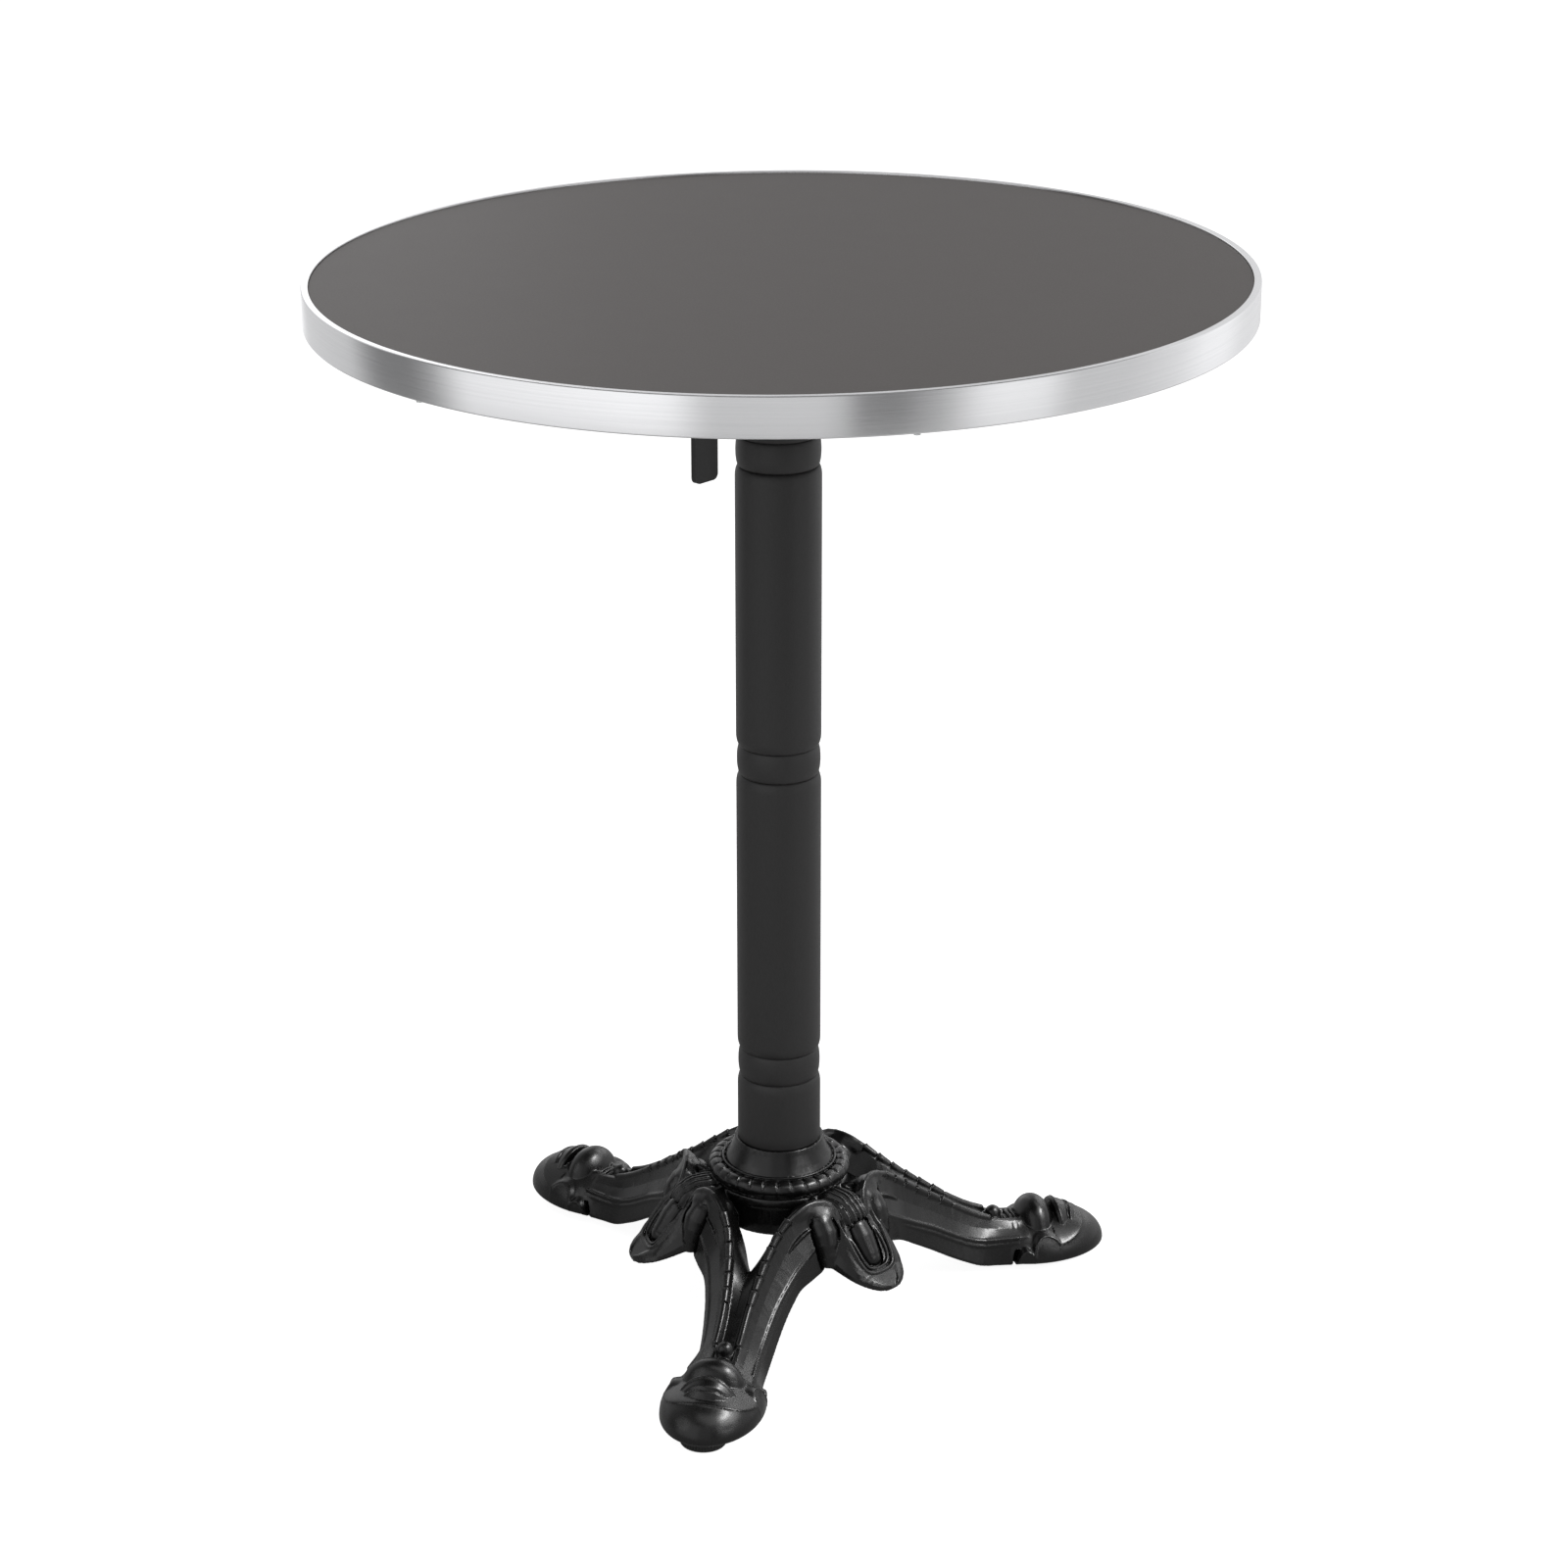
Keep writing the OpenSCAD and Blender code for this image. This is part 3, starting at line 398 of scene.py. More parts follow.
def surface_net(sdf, lo, hi, h, block=8):
    """Mesh of the zero surface on a regular grid; only blocks near the surface are evaluated finely."""
    lo, hi = np.array(lo, float), np.array(hi, float)
    nb = np.ceil((hi - lo) / (h * block)).astype(int)
    n = nb * block + 1
    bs = h * block
    cx = [lo[k] + (np.arange(nb[k]) + 0.5) * bs for k in range(3)]
    G = np.meshgrid(*cx, indexing="ij")
    dc = parallel(sdf, *(g.ravel().astype(F) for g in G)).reshape(nb)
    near = np.abs(dc) < bs * 0.95 + 4.0
    vol = np.empty(n, F)
    far = np.where(dc > 0, 50.0, -50.0).astype(F)
    vol[:-1, :-1, :-1] = np.repeat(np.repeat(np.repeat(far, block, 0), block, 1), block, 2)
    vol[-1], vol[:, -1], vol[:, :, -1] = 50, 50, 50
    idx = np.argwhere(near)
    o = np.arange(block + 1)
    ox, oy, oz = np.meshgrid(o, o, o, indexing="ij")
    ox, oy, oz = ox.ravel(), oy.ravel(), oz.ravel()

    def run(s):
        b = idx[s:s + 200] * block
        ix = (b[:, :1] + ox).ravel()
        iy = (b[:, 1:2] + oy).ravel()
        iz = (b[:, 2:3] + oz).ravel()
        vol[ix, iy, iz] = sdf((lo[0] + ix * h).astype(F), (lo[1] + iy * h).astype(F), (lo[2] + iz * h).astype(F))
    with ThreadPoolExecutor(4) as ex:
        list(ex.map(run, range(0, len(idx), 200)))
    s = vol < 0
    # active cells
    corners = [(i, j, k) for i in (0, 1) for j in (0, 1) for k in (0, 1)]
    m = [n[0] - 1, n[1] - 1, n[2] - 1]
    cnt = np.zeros(m, np.uint8)
    for i, j, k in corners:
        cnt += s[i:i + m[0], j:j + m[1], k:k + m[2]]
    act = (cnt > 0) & (cnt < 8)
    cell = np.argwhere(act)
    cid = np.full(m, -1, np.int32)
    cid[act] = np.arange(len(cell))
    acc = np.zeros((len(cell), 3))
    num = np.zeros(len(cell))
    for a in corners:
        for ax in range(3):
            if a[ax]:
                continue
            b = list(a)
            b[ax] = 1
            va = vol[cell[:, 0] + a[0], cell[:, 1] + a[1], cell[:, 2] + a[2]]
            vb = vol[cell[:, 0] + b[0], cell[:, 1] + b[1], cell[:, 2] + b[2]]
            c = (va < 0) != (vb < 0)
            t = np.where(c, va / np.where(c, va - vb, 1), 0)
            p = np.array(a, float)[None] + t[:, None] * (np.array(b, float) - np.array(a, float))[None]
            acc += np.where(c[:, None], p, 0)
            num += c
    V = (acc / num[:, None] + cell) * h + lo
    quads = []
    for ax in range(3):
        u, w = (ax + 1) % 3, (ax + 2) % 3
        sa = [slice(None)] * 3
        sb = [slice(None)] * 3
        sa[ax], sb[ax] = slice(0, -1), slice(1, None)
        ch = s[tuple(sa)] != s[tuple(sb)]
        e = np.argwhere(ch)
        e = e[(e[:, u] > 0) & (e[:, w] > 0) & (e[:, u] < m[u]) & (e[:, w] < m[w])]
        q = []
        for du, dw in ((1, 1), (0, 1), (0, 0), (1, 0)):
            c = e.copy()
            c[:, u] -= du
            c[:, w] -= dw
            q.append(cid[c[:, 0], c[:, 1], c[:, 2]])
        q = np.stack(q, 1)
        inside = s[e[:, 0], e[:, 1], e[:, 2]]
        q[~inside] = q[~inside][:, ::-1]
        quads.append(q)
    Q = np.concatenate(quads)
    return V, Q


def project(sdf, V, h, it=2):
    """Moves the mesh's points onto the surface."""
    e = 0.25
    V = V.copy()
    for _ in range(it):
        P = V.astype(F)
        d = parallel(sdf, P[:, 0], P[:, 1], P[:, 2]).astype(float)
        g = np.stack([parallel(sdf, P[:, 0] + F(e * (k == 0)), P[:, 1] + F(e * (k == 1)), P[:, 2] + F(e * (k == 2))) - d for k in range(3)], 1).astype(float) / e
        n2 = (g * g).sum(1)
        mv = -(d / np.maximum(n2, 0.3))[:, None] * g
        L = np.linalg.norm(mv, axis=1)
        mv *= np.minimum(1, 0.45 * h / np.maximum(L, 1e-9))[:, None]
        V += mv * 0.9
    return V


def normals(sdf, V, e=0.3):
    """Unit normals of the field at the mesh's points."""
    P = V.astype(F)
    g = np.stack([parallel(sdf, P[:, 0] + F(e * (k == 0)), P[:, 1] + F(e * (k == 1)), P[:, 2] + F(e * (k == 2)))
                  - parallel(sdf, P[:, 0] - F(e * (k == 0)), P[:, 1] - F(e * (k == 1)), P[:, 2] - F(e * (k == 2))) for k in range(3)], 1).astype(float)
    return g / np.maximum(np.linalg.norm(g, axis=1), 1e-9)[:, None]


# ---------------------------------------------------------------- meshes
def piece(name, verts, faces, body, nodes, mats, sharp=40, index=None):
    """Closed mesh in millimetres that stands for CAD nodes and moves with their body."""
    me = bpy.data.meshes.new(name)
    me.from_pydata((np.asarray(verts, float) * MM).tolist(), [], [list(map(int, f)) for f in faces])
    me.update()
    bm = bmesh.new()
    bm.from_mesh(me)
    bmesh.ops.remove_doubles(bm, verts=bm.verts, dist=1e-7)
    if bm.calc_volume(signed=True) < 0:
        bmesh.ops.reverse_faces(bm, faces=bm.faces)
    bm.to_mesh(me)
    bm.free()
    me.polygons.foreach_set("use_smooth", [True] * len(me.polygons))
    if sharp:
        me.set_sharp_from_angle(angle=math.radians(sharp))
    for m in mats if isinstance(mats, (list, tuple)) else [mats]:
        me.materials.append(m)
    o = bpy.data.objects.new(name, me)
    bpy.context.scene.collection.objects.link(o)
    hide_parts(*nodes)
    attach(o, body)
    return o


def lathe(profile, segs, centre=(0, 0), start=0.0, sweep=2 * math.pi, swell=None):
    """Turns a closed (radius, z) outline, given anticlockwise, round the vertical line through centre."""
    full = abs(sweep - 2 * math.pi) < 1e-9
    n = segs if full else segs + 1
    V, rings = [], []
    for r, z in profile:
        ring = []
        for i in range(n):
            a = start + sweep * i / segs
            rr = r + (swell(r, z, a) if swell else 0)
            if r < 1e-6:
                if i == 0:
                    V.append((centre[0], centre[1], z))
                ring.append(len(V) - 1)
            else:
                V.append((centre[0] + rr * math.cos(a), centre[1] + rr * math.sin(a), z))
                ring.append(len(V) - 1)
        rings.append(ring)
    faces = []
    for k in range(len(profile)):
        A, B = rings[k], rings[(k + 1) % len(profile)]
        for i in range(segs):
            j = (i + 1) % n
            f = [A[i], A[j], B[j], B[i]]
            f = [v for q, v in enumerate(f) if v != f[q - 1]]
            if len(set(f)) > 2:
                faces.append(f)
    if not full:
        faces.append([r[0] for r in rings])
        faces.append([r[-1] for r in rings][::-1])
    return V, faces


def arc(cx, cz, r, a0, a1, n):
    return [(cx + r * math.cos(math.radians(a0 + (a1 - a0) * i / n)), cz + r * math.sin(math.radians(a0 + (a1 - a0) * i / n))) for i in range(n + 1)]


def rounded(pts, radii, n=4):
    """Rounds each corner of a closed outline with its own radius."""
    out = []
    m = len(pts)
    for i in range(m):
        p, a, b = (Vector(pts[i]), Vector(pts[i - 1]), Vector(pts[(i + 1) % m]))
        r = radii[i] if isinstance(radii, (list, tuple)) else radii
        u, v = (a - p).normalized(), (b - p).normalized()
        ang = math.acos(max(-1, min(1, u.dot(v))))
        if r < 1e-6 or ang > math.pi - 1e-3:
            out.append(tuple(p))
            continue
        t = min(r / math.tan(ang / 2), 0.49 * (a - p).length, 0.49 * (b - p).length)
        rr = t * math.tan(ang / 2)
        c = p + (u + v).normalized() * (rr / math.sin(ang / 2))
        s0, s1 = p + u * t, p + v * t
        a0, a1 = math.atan2(s0.y - c.y, s0.x - c.x), math.atan2(s1.y - c.y, s1.x - c.x)
        d = (a1 - a0 + math.pi) % (2 * math.pi) - math.pi
        out += [(c.x + rr * math.cos(a0 + d * k / n), c.y + rr * math.sin(a0 + d * k / n)) for k in range(n + 1)]
    return out


# ---------------------------------------------------------------- materials
class Graph:
    """Short way to write a node material."""

    def __init__(self, name, tree=None):
        if tree is None:
            self.m = bpy.data.materials.new(name)
            self.m.use_nodes = True
            tree = self.m.node_tree
        self.t = tree
        self.t.nodes.clear()

    def add(self, kind, ins=None, **props):
        n = self.t.nodes.new("ShaderNode" + kind)
        for k, v in props.items():
            setattr(n, k, v)
        for k, v in (ins or {}).items():
            if isinstance(v, bpy.types.NodeSocket):
                self.t.links.new(v, n.inputs[k])
            else:
                n.inputs[k].default_value = v
        return n

    def pos(self):
        return self.add("TexCoord").outputs["Object"]

    def calc(self, op, a, b=0.0, c=0.0):
        return self.add("Math", {0: a, 1: b, 2: c}, operation=op).outputs[0]

    def xyz(self, v):
        return self.add("SeparateXYZ", {0: v}).outputs

    def vec(self, x, y, z):
        return self.add("CombineXYZ", {0: x, 1: y, 2: z}).outputs[0]

    def noise(self, v, scale, detail=3.0, rough=0.5, warp=0.0):
        return self.add("TexNoise", {"Vector": v, "Scale": scale, "Detail": detail, "Roughness": rough, "Distortion": warp}).outputs[0]

    def cells(self, v, scale, out=0):
        return self.add("TexVoronoi", {"Vector": v, "Scale": scale}).outputs[out]

    def fit(self, v, a, b, c, d):
        return self.add("MapRange", {"Value": v, "From Min": a, "From Max": b, "To Min": c, "To Max": d}).outputs[0]

    def blend(self, f, a, b):
        n = self.add("Mix", data_type="RGBA")
        for k, v in ((0, f), (6, a), (7, b)):
            if isinstance(v, bpy.types.NodeSocket):
                self.t.links.new(v, n.inputs[k])
            else:
                n.inputs[k].default_value = (*v, 1.0) if isinstance(v, tuple) and len(v) == 3 else v
        return n.outputs[2]

    def bump(self, height, depth_mm, normal=None, strength=1.0):
        ins = {"Height": height, "Distance": depth_mm * MM, "Strength": strength}
        if normal is not None:
            ins["Normal"] = normal
        return self.add("Bump", ins).outputs[0]

    def wear(self, radius_mm, lo=0.05, hi=0.35):
        """1 on outer edges, 0 on flats, broken up a little."""
        e = self.add("Bevel", {"Radius": radius_mm * MM}, samples=4).outputs[0]
        n = self.add("NewGeometry").outputs["Normal"]
        d = self.add("VectorMath", {0: e, 1: n}, operation="DOT_PRODUCT").outputs["Value"]
        d = self.fit(self.calc("SUBTRACT", 1.0, d), lo * 0.3, hi * 0.3, 0.0, 1.0)
        return self.calc("MULTIPLY", d, self.fit(self.noise(self.pos(), 900.0, 2.0), 0.35, 0.62, 0.0, 1.0))

    def done(self, **ins):
        b = self.add("BsdfPrincipled", {k.replace("_", " "): v for k, v in ins.items()})
        self.t.links.new(b.outputs[0], self.add("OutputMaterial").inputs[0])
        return self.m


def srgb(h):
    c = [int(h[i:i + 2], 16) / 255 for i in (0, 2, 4)]
    return tuple(x / 12.92 if x < 0.04045 else ((x + 0.055) / 1.055) ** 2.4 for x in c)


def paint(name, base, edge, rough, spread, grain_mm, grain_scale, peel_mm=0.0, peel_scale=120.0, wear_mm=0.6, wear_amount=0.5, coat=0.0, ior=1.5):
    """Painted or moulded surface: fine grain, slight waviness, roughness that varies, paler edges."""
    g = Graph(name)
    p = g.pos()
    broad = g.noise(p, 14.0, 4.0, 0.6)
    fine = g.noise(p, grain_scale, 2.0, 0.6)
    tone = g.fit(broad, 0.3, 0.7, 0.88, 1.12)
    tone = g.calc("MULTIPLY", tone, g.fit(fine, 0.3, 0.7, 0.93, 1.07))
    col = g.add("VectorMath", {0: base, "Scale": tone}, operation="SCALE").outputs[0]
    if wear_amount:
        col = g.blend(g.calc("MULTIPLY", g.wear(wear_mm), wear_amount), col, edge)
    r = g.fit(g.calc("ADD", g.calc("MULTIPLY", broad, 0.6), g.calc("MULTIPLY", fine, 0.4)), 0.3, 0.7, rough - spread, rough + spread)
    nrm = g.bump(g.noise(p, peel_scale, 2.0, 0.4), peel_mm) if peel_mm else None
    nrm = g.bump(fine, grain_mm, nrm)
    return g.done(Base_Color=col, Roughness=r, Normal=nrm, IOR=ior, Coat_Weight=coat, Coat_Roughness=0.2)


def make_laminate():
    g = Graph("laminate_grey")
    p = g.pos()
    mott = g.noise(p, 55.0, 5.0, 0.62)
    fleck = g.noise(p, 900.0, 2.0, 0.6)
    tone = g.calc("MULTIPLY", g.fit(mott, 0.3, 0.7, 0.993, 1.007), g.fit(fleck, 0.3, 0.7, 0.96, 1.04))
    col = g.add("VectorMath", {0: LAMINATE, "Scale": tone}, operation="SCALE").outputs[0]
    grain = g.add("TexVoronoi", {"Vector": p, "Scale": 620.0}, feature="SMOOTH_F1").outputs[0]
    r = g.fit(g.calc("ADD", g.calc("MULTIPLY", mott, 0.12), g.calc("MULTIPLY", fleck, 0.88)), 0.3, 0.7, 0.42, 0.50)
    nrm = g.bump(fleck, 0.010, g.bump(grain, 0.030))
    return g.done(Base_Color=col, Roughness=r, Normal=nrm, IOR=1.46, Specular_IOR_Level=0.22)


def make_aluminium():
    """Brushed round the rim: long streaks along the band, reflections drawn out across it."""
    g = Graph("band_aluminium")
    p = g.pos()
    x, y, z = g.xyz(p)
    a = g.calc("MULTIPLY", g.calc("ARCTAN2", y, x), TOP_R * MM)
    rr = g.calc("SQRT", g.calc("ADD", g.calc("MULTIPLY", x, x), g.calc("MULTIPLY", y, y)))
    q = g.vec(g.calc("MULTIPLY", a, 14.0), g.calc("MULTIPLY", z, 3300.0), g.calc("MULTIPLY", rr, 3300.0))
    streak = g.noise(q, 1.0, 3.0, 0.65)
    q2 = g.vec(g.calc("MULTIPLY", a, 5.0), g.calc("MULTIPLY", z, 700.0), g.calc("MULTIPLY", rr, 700.0))
    slow = g.noise(q2, 1.0, 2.0, 0.5)
    col = g.blend(g.calc("MULTIPLY", g.calc("ADD", streak, slow), 0.5), (0.74, 0.745, 0.755), (0.93, 0.93, 0.935))
    col = g.blend(g.calc("MULTIPLY", g.wear(0.5), 0.6), col, (0.96, 0.96, 0.96))
    r = g.fit(streak, 0.3, 0.7, 0.17, 0.27)
    nrm = g.bump(streak, 0.0035, g.bump(slow, 0.004))
    return g.done(Base_Color=col, Metallic=1.0, Roughness=r, Normal=nrm, Anisotropic=0.85, Anisotropic_Rotation=0.25,
                  Tangent=g.add("Tangent", direction_type="RADIAL", axis="Z").outputs[0])


def metal(name, base, rough, scratch=0.002, tint=None, grain=1400.0):
    """Plated or bare steel: dull patches, fine scratches, brighter edges."""
    g = Graph(name)
    p = g.pos()
    patch = g.noise(p, 60.0, 5.0, 0.6)
    x, y, z = g.xyz(p)
    line = g.noise(g.vec(g.calc("MULTIPLY", x, 3.0), g.calc("MULTIPLY", y, 3.0), z), grain, 2.0, 0.6)
    col = g.blend(g.fit(patch, 0.3, 0.7, 0.0, 1.0), base, tint or tuple(c * 0.78 for c in base))
    col = g.blend(g.calc("MULTIPLY", g.wear(0.4), 0.7), col, tuple(min(1, c * 1.35) for c in base))
    r = g.fit(g.calc("ADD", g.calc("MULTIPLY", patch, 0.6), g.calc("MULTIPLY", line, 0.4)), 0.3, 0.7, rough - 0.09, rough + 0.10)
    return g.done(Base_Color=col, Metallic=1.0, Roughness=r, Normal=g.bump(line, scratch, g.bump(patch, 0.004)))


def make_board():
    """Chips and fibres of pressed board."""
    g = Graph("core_board")
    p = g.pos()
    x, y, z = g.xyz(p)
    chip = g.add("TexVoronoi", {"Vector": g.vec(x, y, g.calc("MULTIPLY", z, 2.6)), "Scale": 420.0, "Randomness": 1.0})
    fibre = g.noise(g.vec(x, y, g.calc("MULTIPLY", z, 4.0)), 1500.0, 4.0, 0.7)
    col = g.blend(g.xyz(chip.outputs["Color"])[0], (0.30, 0.19, 0.10), (0.56, 0.42, 0.26))
    col = g.blend(g.calc("MULTIPLY", fibre, 0.5), col, (0.18, 0.11, 0.06))
    h = g.calc("ADD", g.calc("MULTIPLY", chip.outputs["Distance"], 0.6), g.calc("MULTIPLY", fibre, 0.4))
    return g.done(Base_Color=col, Roughness=g.fit(fibre, 0.3, 0.7, 0.78, 0.95), Normal=g.bump(h, 0.12))


LAMINATE = srgb("4a4644")
M = {
    "laminate_grey": make_laminate(),
    "band_aluminium": make_aluminium(),
    "core_board": make_board(),
    "balance_black": paint("balance_black", (0.018, 0.018, 0.018), (0.06, 0.06, 0.06), 0.62, 0.06, 0.02, 800.0, wear_amount=0.3),
    "frame_black": paint("frame_black", (0.014, 0.014, 0.0145), (0.10, 0.10, 0.10), 0.46, 0.06, 0.016, 700.0, 0.05, 160.0, wear_amount=0.35),
    "column_black": paint("column_black", (0.019, 0.0185, 0.0185), (0.11, 0.105, 0.10), 0.50, 0.05, 0.055, 700.0, 0.03, 220.0, wear_amount=0.30),
    "cast_black": paint("cast_black", (0.0048, 0.0046, 0.0046), (0.055, 0.055, 0.055), 0.26, 0.05, 0.022, 700.0, 0.05, 190.0, wear_amount=0.0, ior=1.41),
    "lever_black": paint("lever_black", (0.008, 0.0078, 0.0078), (0.12, 0.12, 0.12), 0.48, 0.05, 0.020, 900.0, 0.02, 200.0, wear_amount=0.35),
    "glide_plastic": paint("glide_plastic", (0.013, 0.013, 0.013), (0.05, 0.05, 0.05), 0.50, 0.06, 0.015, 900.0, wear_amount=0.4),
    "bumper_rubber": paint("bumper_rubber", (0.012, 0.012, 0.012), (0.035, 0.035, 0.035), 0.78, 0.08, 0.03, 700.0, wear_amount=0.5),
    "bush_nylon": paint("bush_nylon", (0.66, 0.64, 0.57), (0.75, 0.74, 0.70), 0.42, 0.06, 0.01, 900.0, wear_amount=0.3),
    "zinc_steel": metal("zinc_steel", (0.60, 0.61, 0.63), 0.34, tint=(0.50, 0.51, 0.47)),
    "spring_steel": metal("spring_steel", (0.36, 0.36, 0.37), 0.30),
}

# carried-over CAD nodes take the finish named for them in the record
SLOT_OF = {}
for sub in frame["record"].get("subparts", []):
    SLOT_OF[sub.get("node") or sub.get("name")] = sub.get("material") or sub.get("slot") or sub.get("material_slot")
FALLBACK = {
    "base_casting": "cast_black", "column": "column_black", "tilt_head": "frame_black", "top_frame": "frame_black",
    "head_bumpers": "bumper_rubber", "hinge_bushes": "bush_nylon", "top_laminate": "laminate_grey", "top_core": "core_board",
    "balance_laminate": "balance_black", "edge_band": "band_aluminium", "latch_spring": "spring_steel",
    "hinge_clips": "spring_steel", "latch_lever": "lever_black",
}
for name, node in frame["nodes"].items():
    s = SLOT_OF.get(name)
    if s not in M:
        s = FALLBACK.get(name) or ("glide_plastic" if name.endswith("glide_pad") else "zinc_steel")
    node.data.materials.clear()
    node.data.materials.append(M[s])

# ---------------------------------------------------------------- table top
z0, z1 = lo_band[2], hi_band[2]
R = TOP_R
GAP_AZ = math.radians(208.4)
band = (
    [(R - 6, z0)] + arc(R - 1.1, z0 + 1.1, 1.1, -90, 0, 6) + arc(R - 1.0, z1 - 1.0, 1.0, 0, 90, 6)
    + arc(R - 4.3, z1 - 0.5, 0.5, 90, 180, 4)
    + [(R - 4.8, hi_core[2]), (R - 1.5, hi_core[2]), (R - 1.5, lo_bal[2]), (R - 5.8, lo_bal[2]), (R - 6, lo_bal[2] - 0.2)]
)
half = 0.2 / R
V, Fc = lathe(band, 420, start=GAP_AZ + half, sweep=2 * math.pi - 2 * half)
piece("rim_band", V, Fc, "table_top", ["edge_band"], M["band_aluminium"], sharp=50)

z0, z1 = lo_lam[2], hi_lam[2]
lam = [(0, z0), (LAM_R - 0.1, z0), (LAM_R, z0 + 0.1), (LAM_R, z1 - 0.25), (LAM_R - 0.08, z1 - 0.08), (LAM_R - 0.25, z1),
       (LAM_R - 1.5, z1), (LAM_R - 12, z1)] + [(LAM_R * k / 8, z1) for k in (7, 6, 5, 4, 3, 2, 1)] + [(0, z1)]
V, Fc = lathe(lam, 360)
piece("laminate_sheet", V, Fc, "table_top", ["top_laminate"], M["laminate_grey"], sharp=50)

# ---------------------------------------------------------------- column
z0, z1 = lo_col[2], hi_col[2]
BEADS = (z0 + 57, z0 + 0.507 * (z1 - z0), z1 - 57)
GD = 2.4


def bead_outline(zc):
    out = []
    for d in (7.5, 6.4, 5.2, 4.0, 3.0, 2.1, 1.3, 0.7, 0.25):
        out.append((COL_R - GD + GD * math.sqrt(max(0, 1 - ((7.5 - d) / 7.5) ** 2)), zc - 10 - d))
    for i in range(25):
        h = -10 * math.cos(math.radians(7.5 * i))
        out.append((COL_R - GD + (GD - 0.45) * math.sqrt(max(0, 1 - (h / 10) ** 2)), zc + h))
    return out + [(r, 2 * zc - z) for r, z in out[8::-1]]


prof = [(COL_R - 0.6, z0), (COL_R - 0.15, z0 + 0.15), (COL_R, z0 + 0.6)]
last = z0 + 0.6
for zc in BEADS:
    for k in range(1, 6):
        prof.append((COL_R, last + (zc - 17.6 - last) * k / 6))
    prof += bead_outline(zc)
    last = zc + 17.6
for k in range(1, 4):
    prof.append((COL_R, last + (z1 - 0.6 - last) * k / 4))
prof += [(COL_R, z1 - 0.6), (COL_R - 0.15, z1 - 0.15), (COL_R - 0.6, z1), (24.4, z1), (24.0, z1 - 0.4)]
prof += [(24.0, z1 + (z0 - z1) * k / 8) for k in range(1, 8)] + [(24.0, z0 + 0.4), (24.4, z0)]
V, Fc = lathe(prof, 128)
piece("column_tube", V, Fc, "pedestal", ["column"], M["column_black"], sharp=50)

# ---------------------------------------------------------------- release lever
LY = 0.5 * (lo_pin[1] + hi_pin[1])
LZ = 0.5 * (lo_pin[2] + hi_pin[2])


def solid_x(name_bm, outline, x0, x1, hole=None):
    """Adds a slab with outline in (y, z) between two x values to a bmesh."""
    bm = name_bm
    n = len(outline)
    a = [bm.verts.new((x0, y, z)) for y, z in outline]
    b = [bm.verts.new((x1, y, z)) for y, z in outline]
    bm.faces.new(a[::-1])
    bm.faces.new(b)
    for i in range(n):
        j = (i + 1) % n
        bm.faces.new((a[i], a[j], b[j], b[i]))


def bevelled(name, build, body, nodes, slot, mat, width_mm, sharp=40, segs=3, cut=None):
    """Piece made from bmesh solids with every sharp edge rounded."""
    bm = bmesh.new()
    build(bm)
    bmesh.ops.recalc_face_normals(bm, faces=bm.faces)
    for v in bm.verts:
        v.co *= MM
    me = bpy.data.meshes.new(name)
    bm.to_mesh(me)
    bm.free()
    me.materials.append(mat)
    o = bpy.data.objects.new(name, me)
    bpy.context.scene.collection.objects.link(o)
    if cut:
        for c in cut:
            k = o.modifiers.new("cut", "BOOLEAN")
            k.object, k.operation, k.solver = c, "DIFFERENCE", "EXACT"
    w = o.modifiers.new("edges", "BEVEL")
    w.width, w.segments, w.limit_method, w.angle_limit = width_mm * MM, segs, "ANGLE", math.radians(38)
    w.harden_normals = False
    settle(o)
    o.data.polygons.foreach_set("use_smooth", [True] * len(o.data.polygons))
    o.data.set_sharp_from_angle(angle=math.radians(sharp))
    if nodes:
        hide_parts(*nodes)
    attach(o, body)
    return o


def settle(o):
    """Applies the modifiers."""
    dg = bpy.context.evaluated_depsgraph_get()
    me = bpy.data.meshes.new_from_object(o.evaluated_get(dg))
    o.modifiers.clear()
    o.data = me



# light levels
WALL_GAIN, KEY, SIDE, LOW, BACK, AMBIENT = 1.15, 26.0, 22.0, 2.0, 6.0, 0.26
GLOSS = (128.0, 36.0, 54.0, 12.0)

def build_lever(bm):
    def nose(a):
        if a < -60:
            return 8.5
        if a < -8:
            return 8.5 + 7 * (a + 60) / 52
        if a < 4:
            return 15.5
        if a < 70:
            return 15.5 - 7 * (a - 4) / 66
        return 8.5
    hub = [(LY + nose(a) * math.cos(math.radians(a)), LZ + nose(a) * math.sin(math.radians(a))) for a in range(-180, 180, 6)]
    solid_x(bm, hub, -4.8, 4.8)


def build_bar(bm):
    bar = rounded([(LY - 10, lo_lev[2]), (LY + 10, lo_lev[2]), (LY + 10, LZ), (LY - 10, LZ)], [4, 4, 0, 0], 8)
    solid_x(bm, bar, -2, 2)


def helper(name, build, mat=None):
    bm = bmesh.new()
    build(bm)
    bmesh.ops.recalc_face_normals(bm, faces=bm.faces)
    for v in bm.verts:
        v.co *= MM
    me = bpy.data.meshes.new(name)
    bm.to_mesh(me)
    bm.free()
    o = bpy.data.objects.new(name, me)
    bpy.context.scene.collection.objects.link(o)
    return o


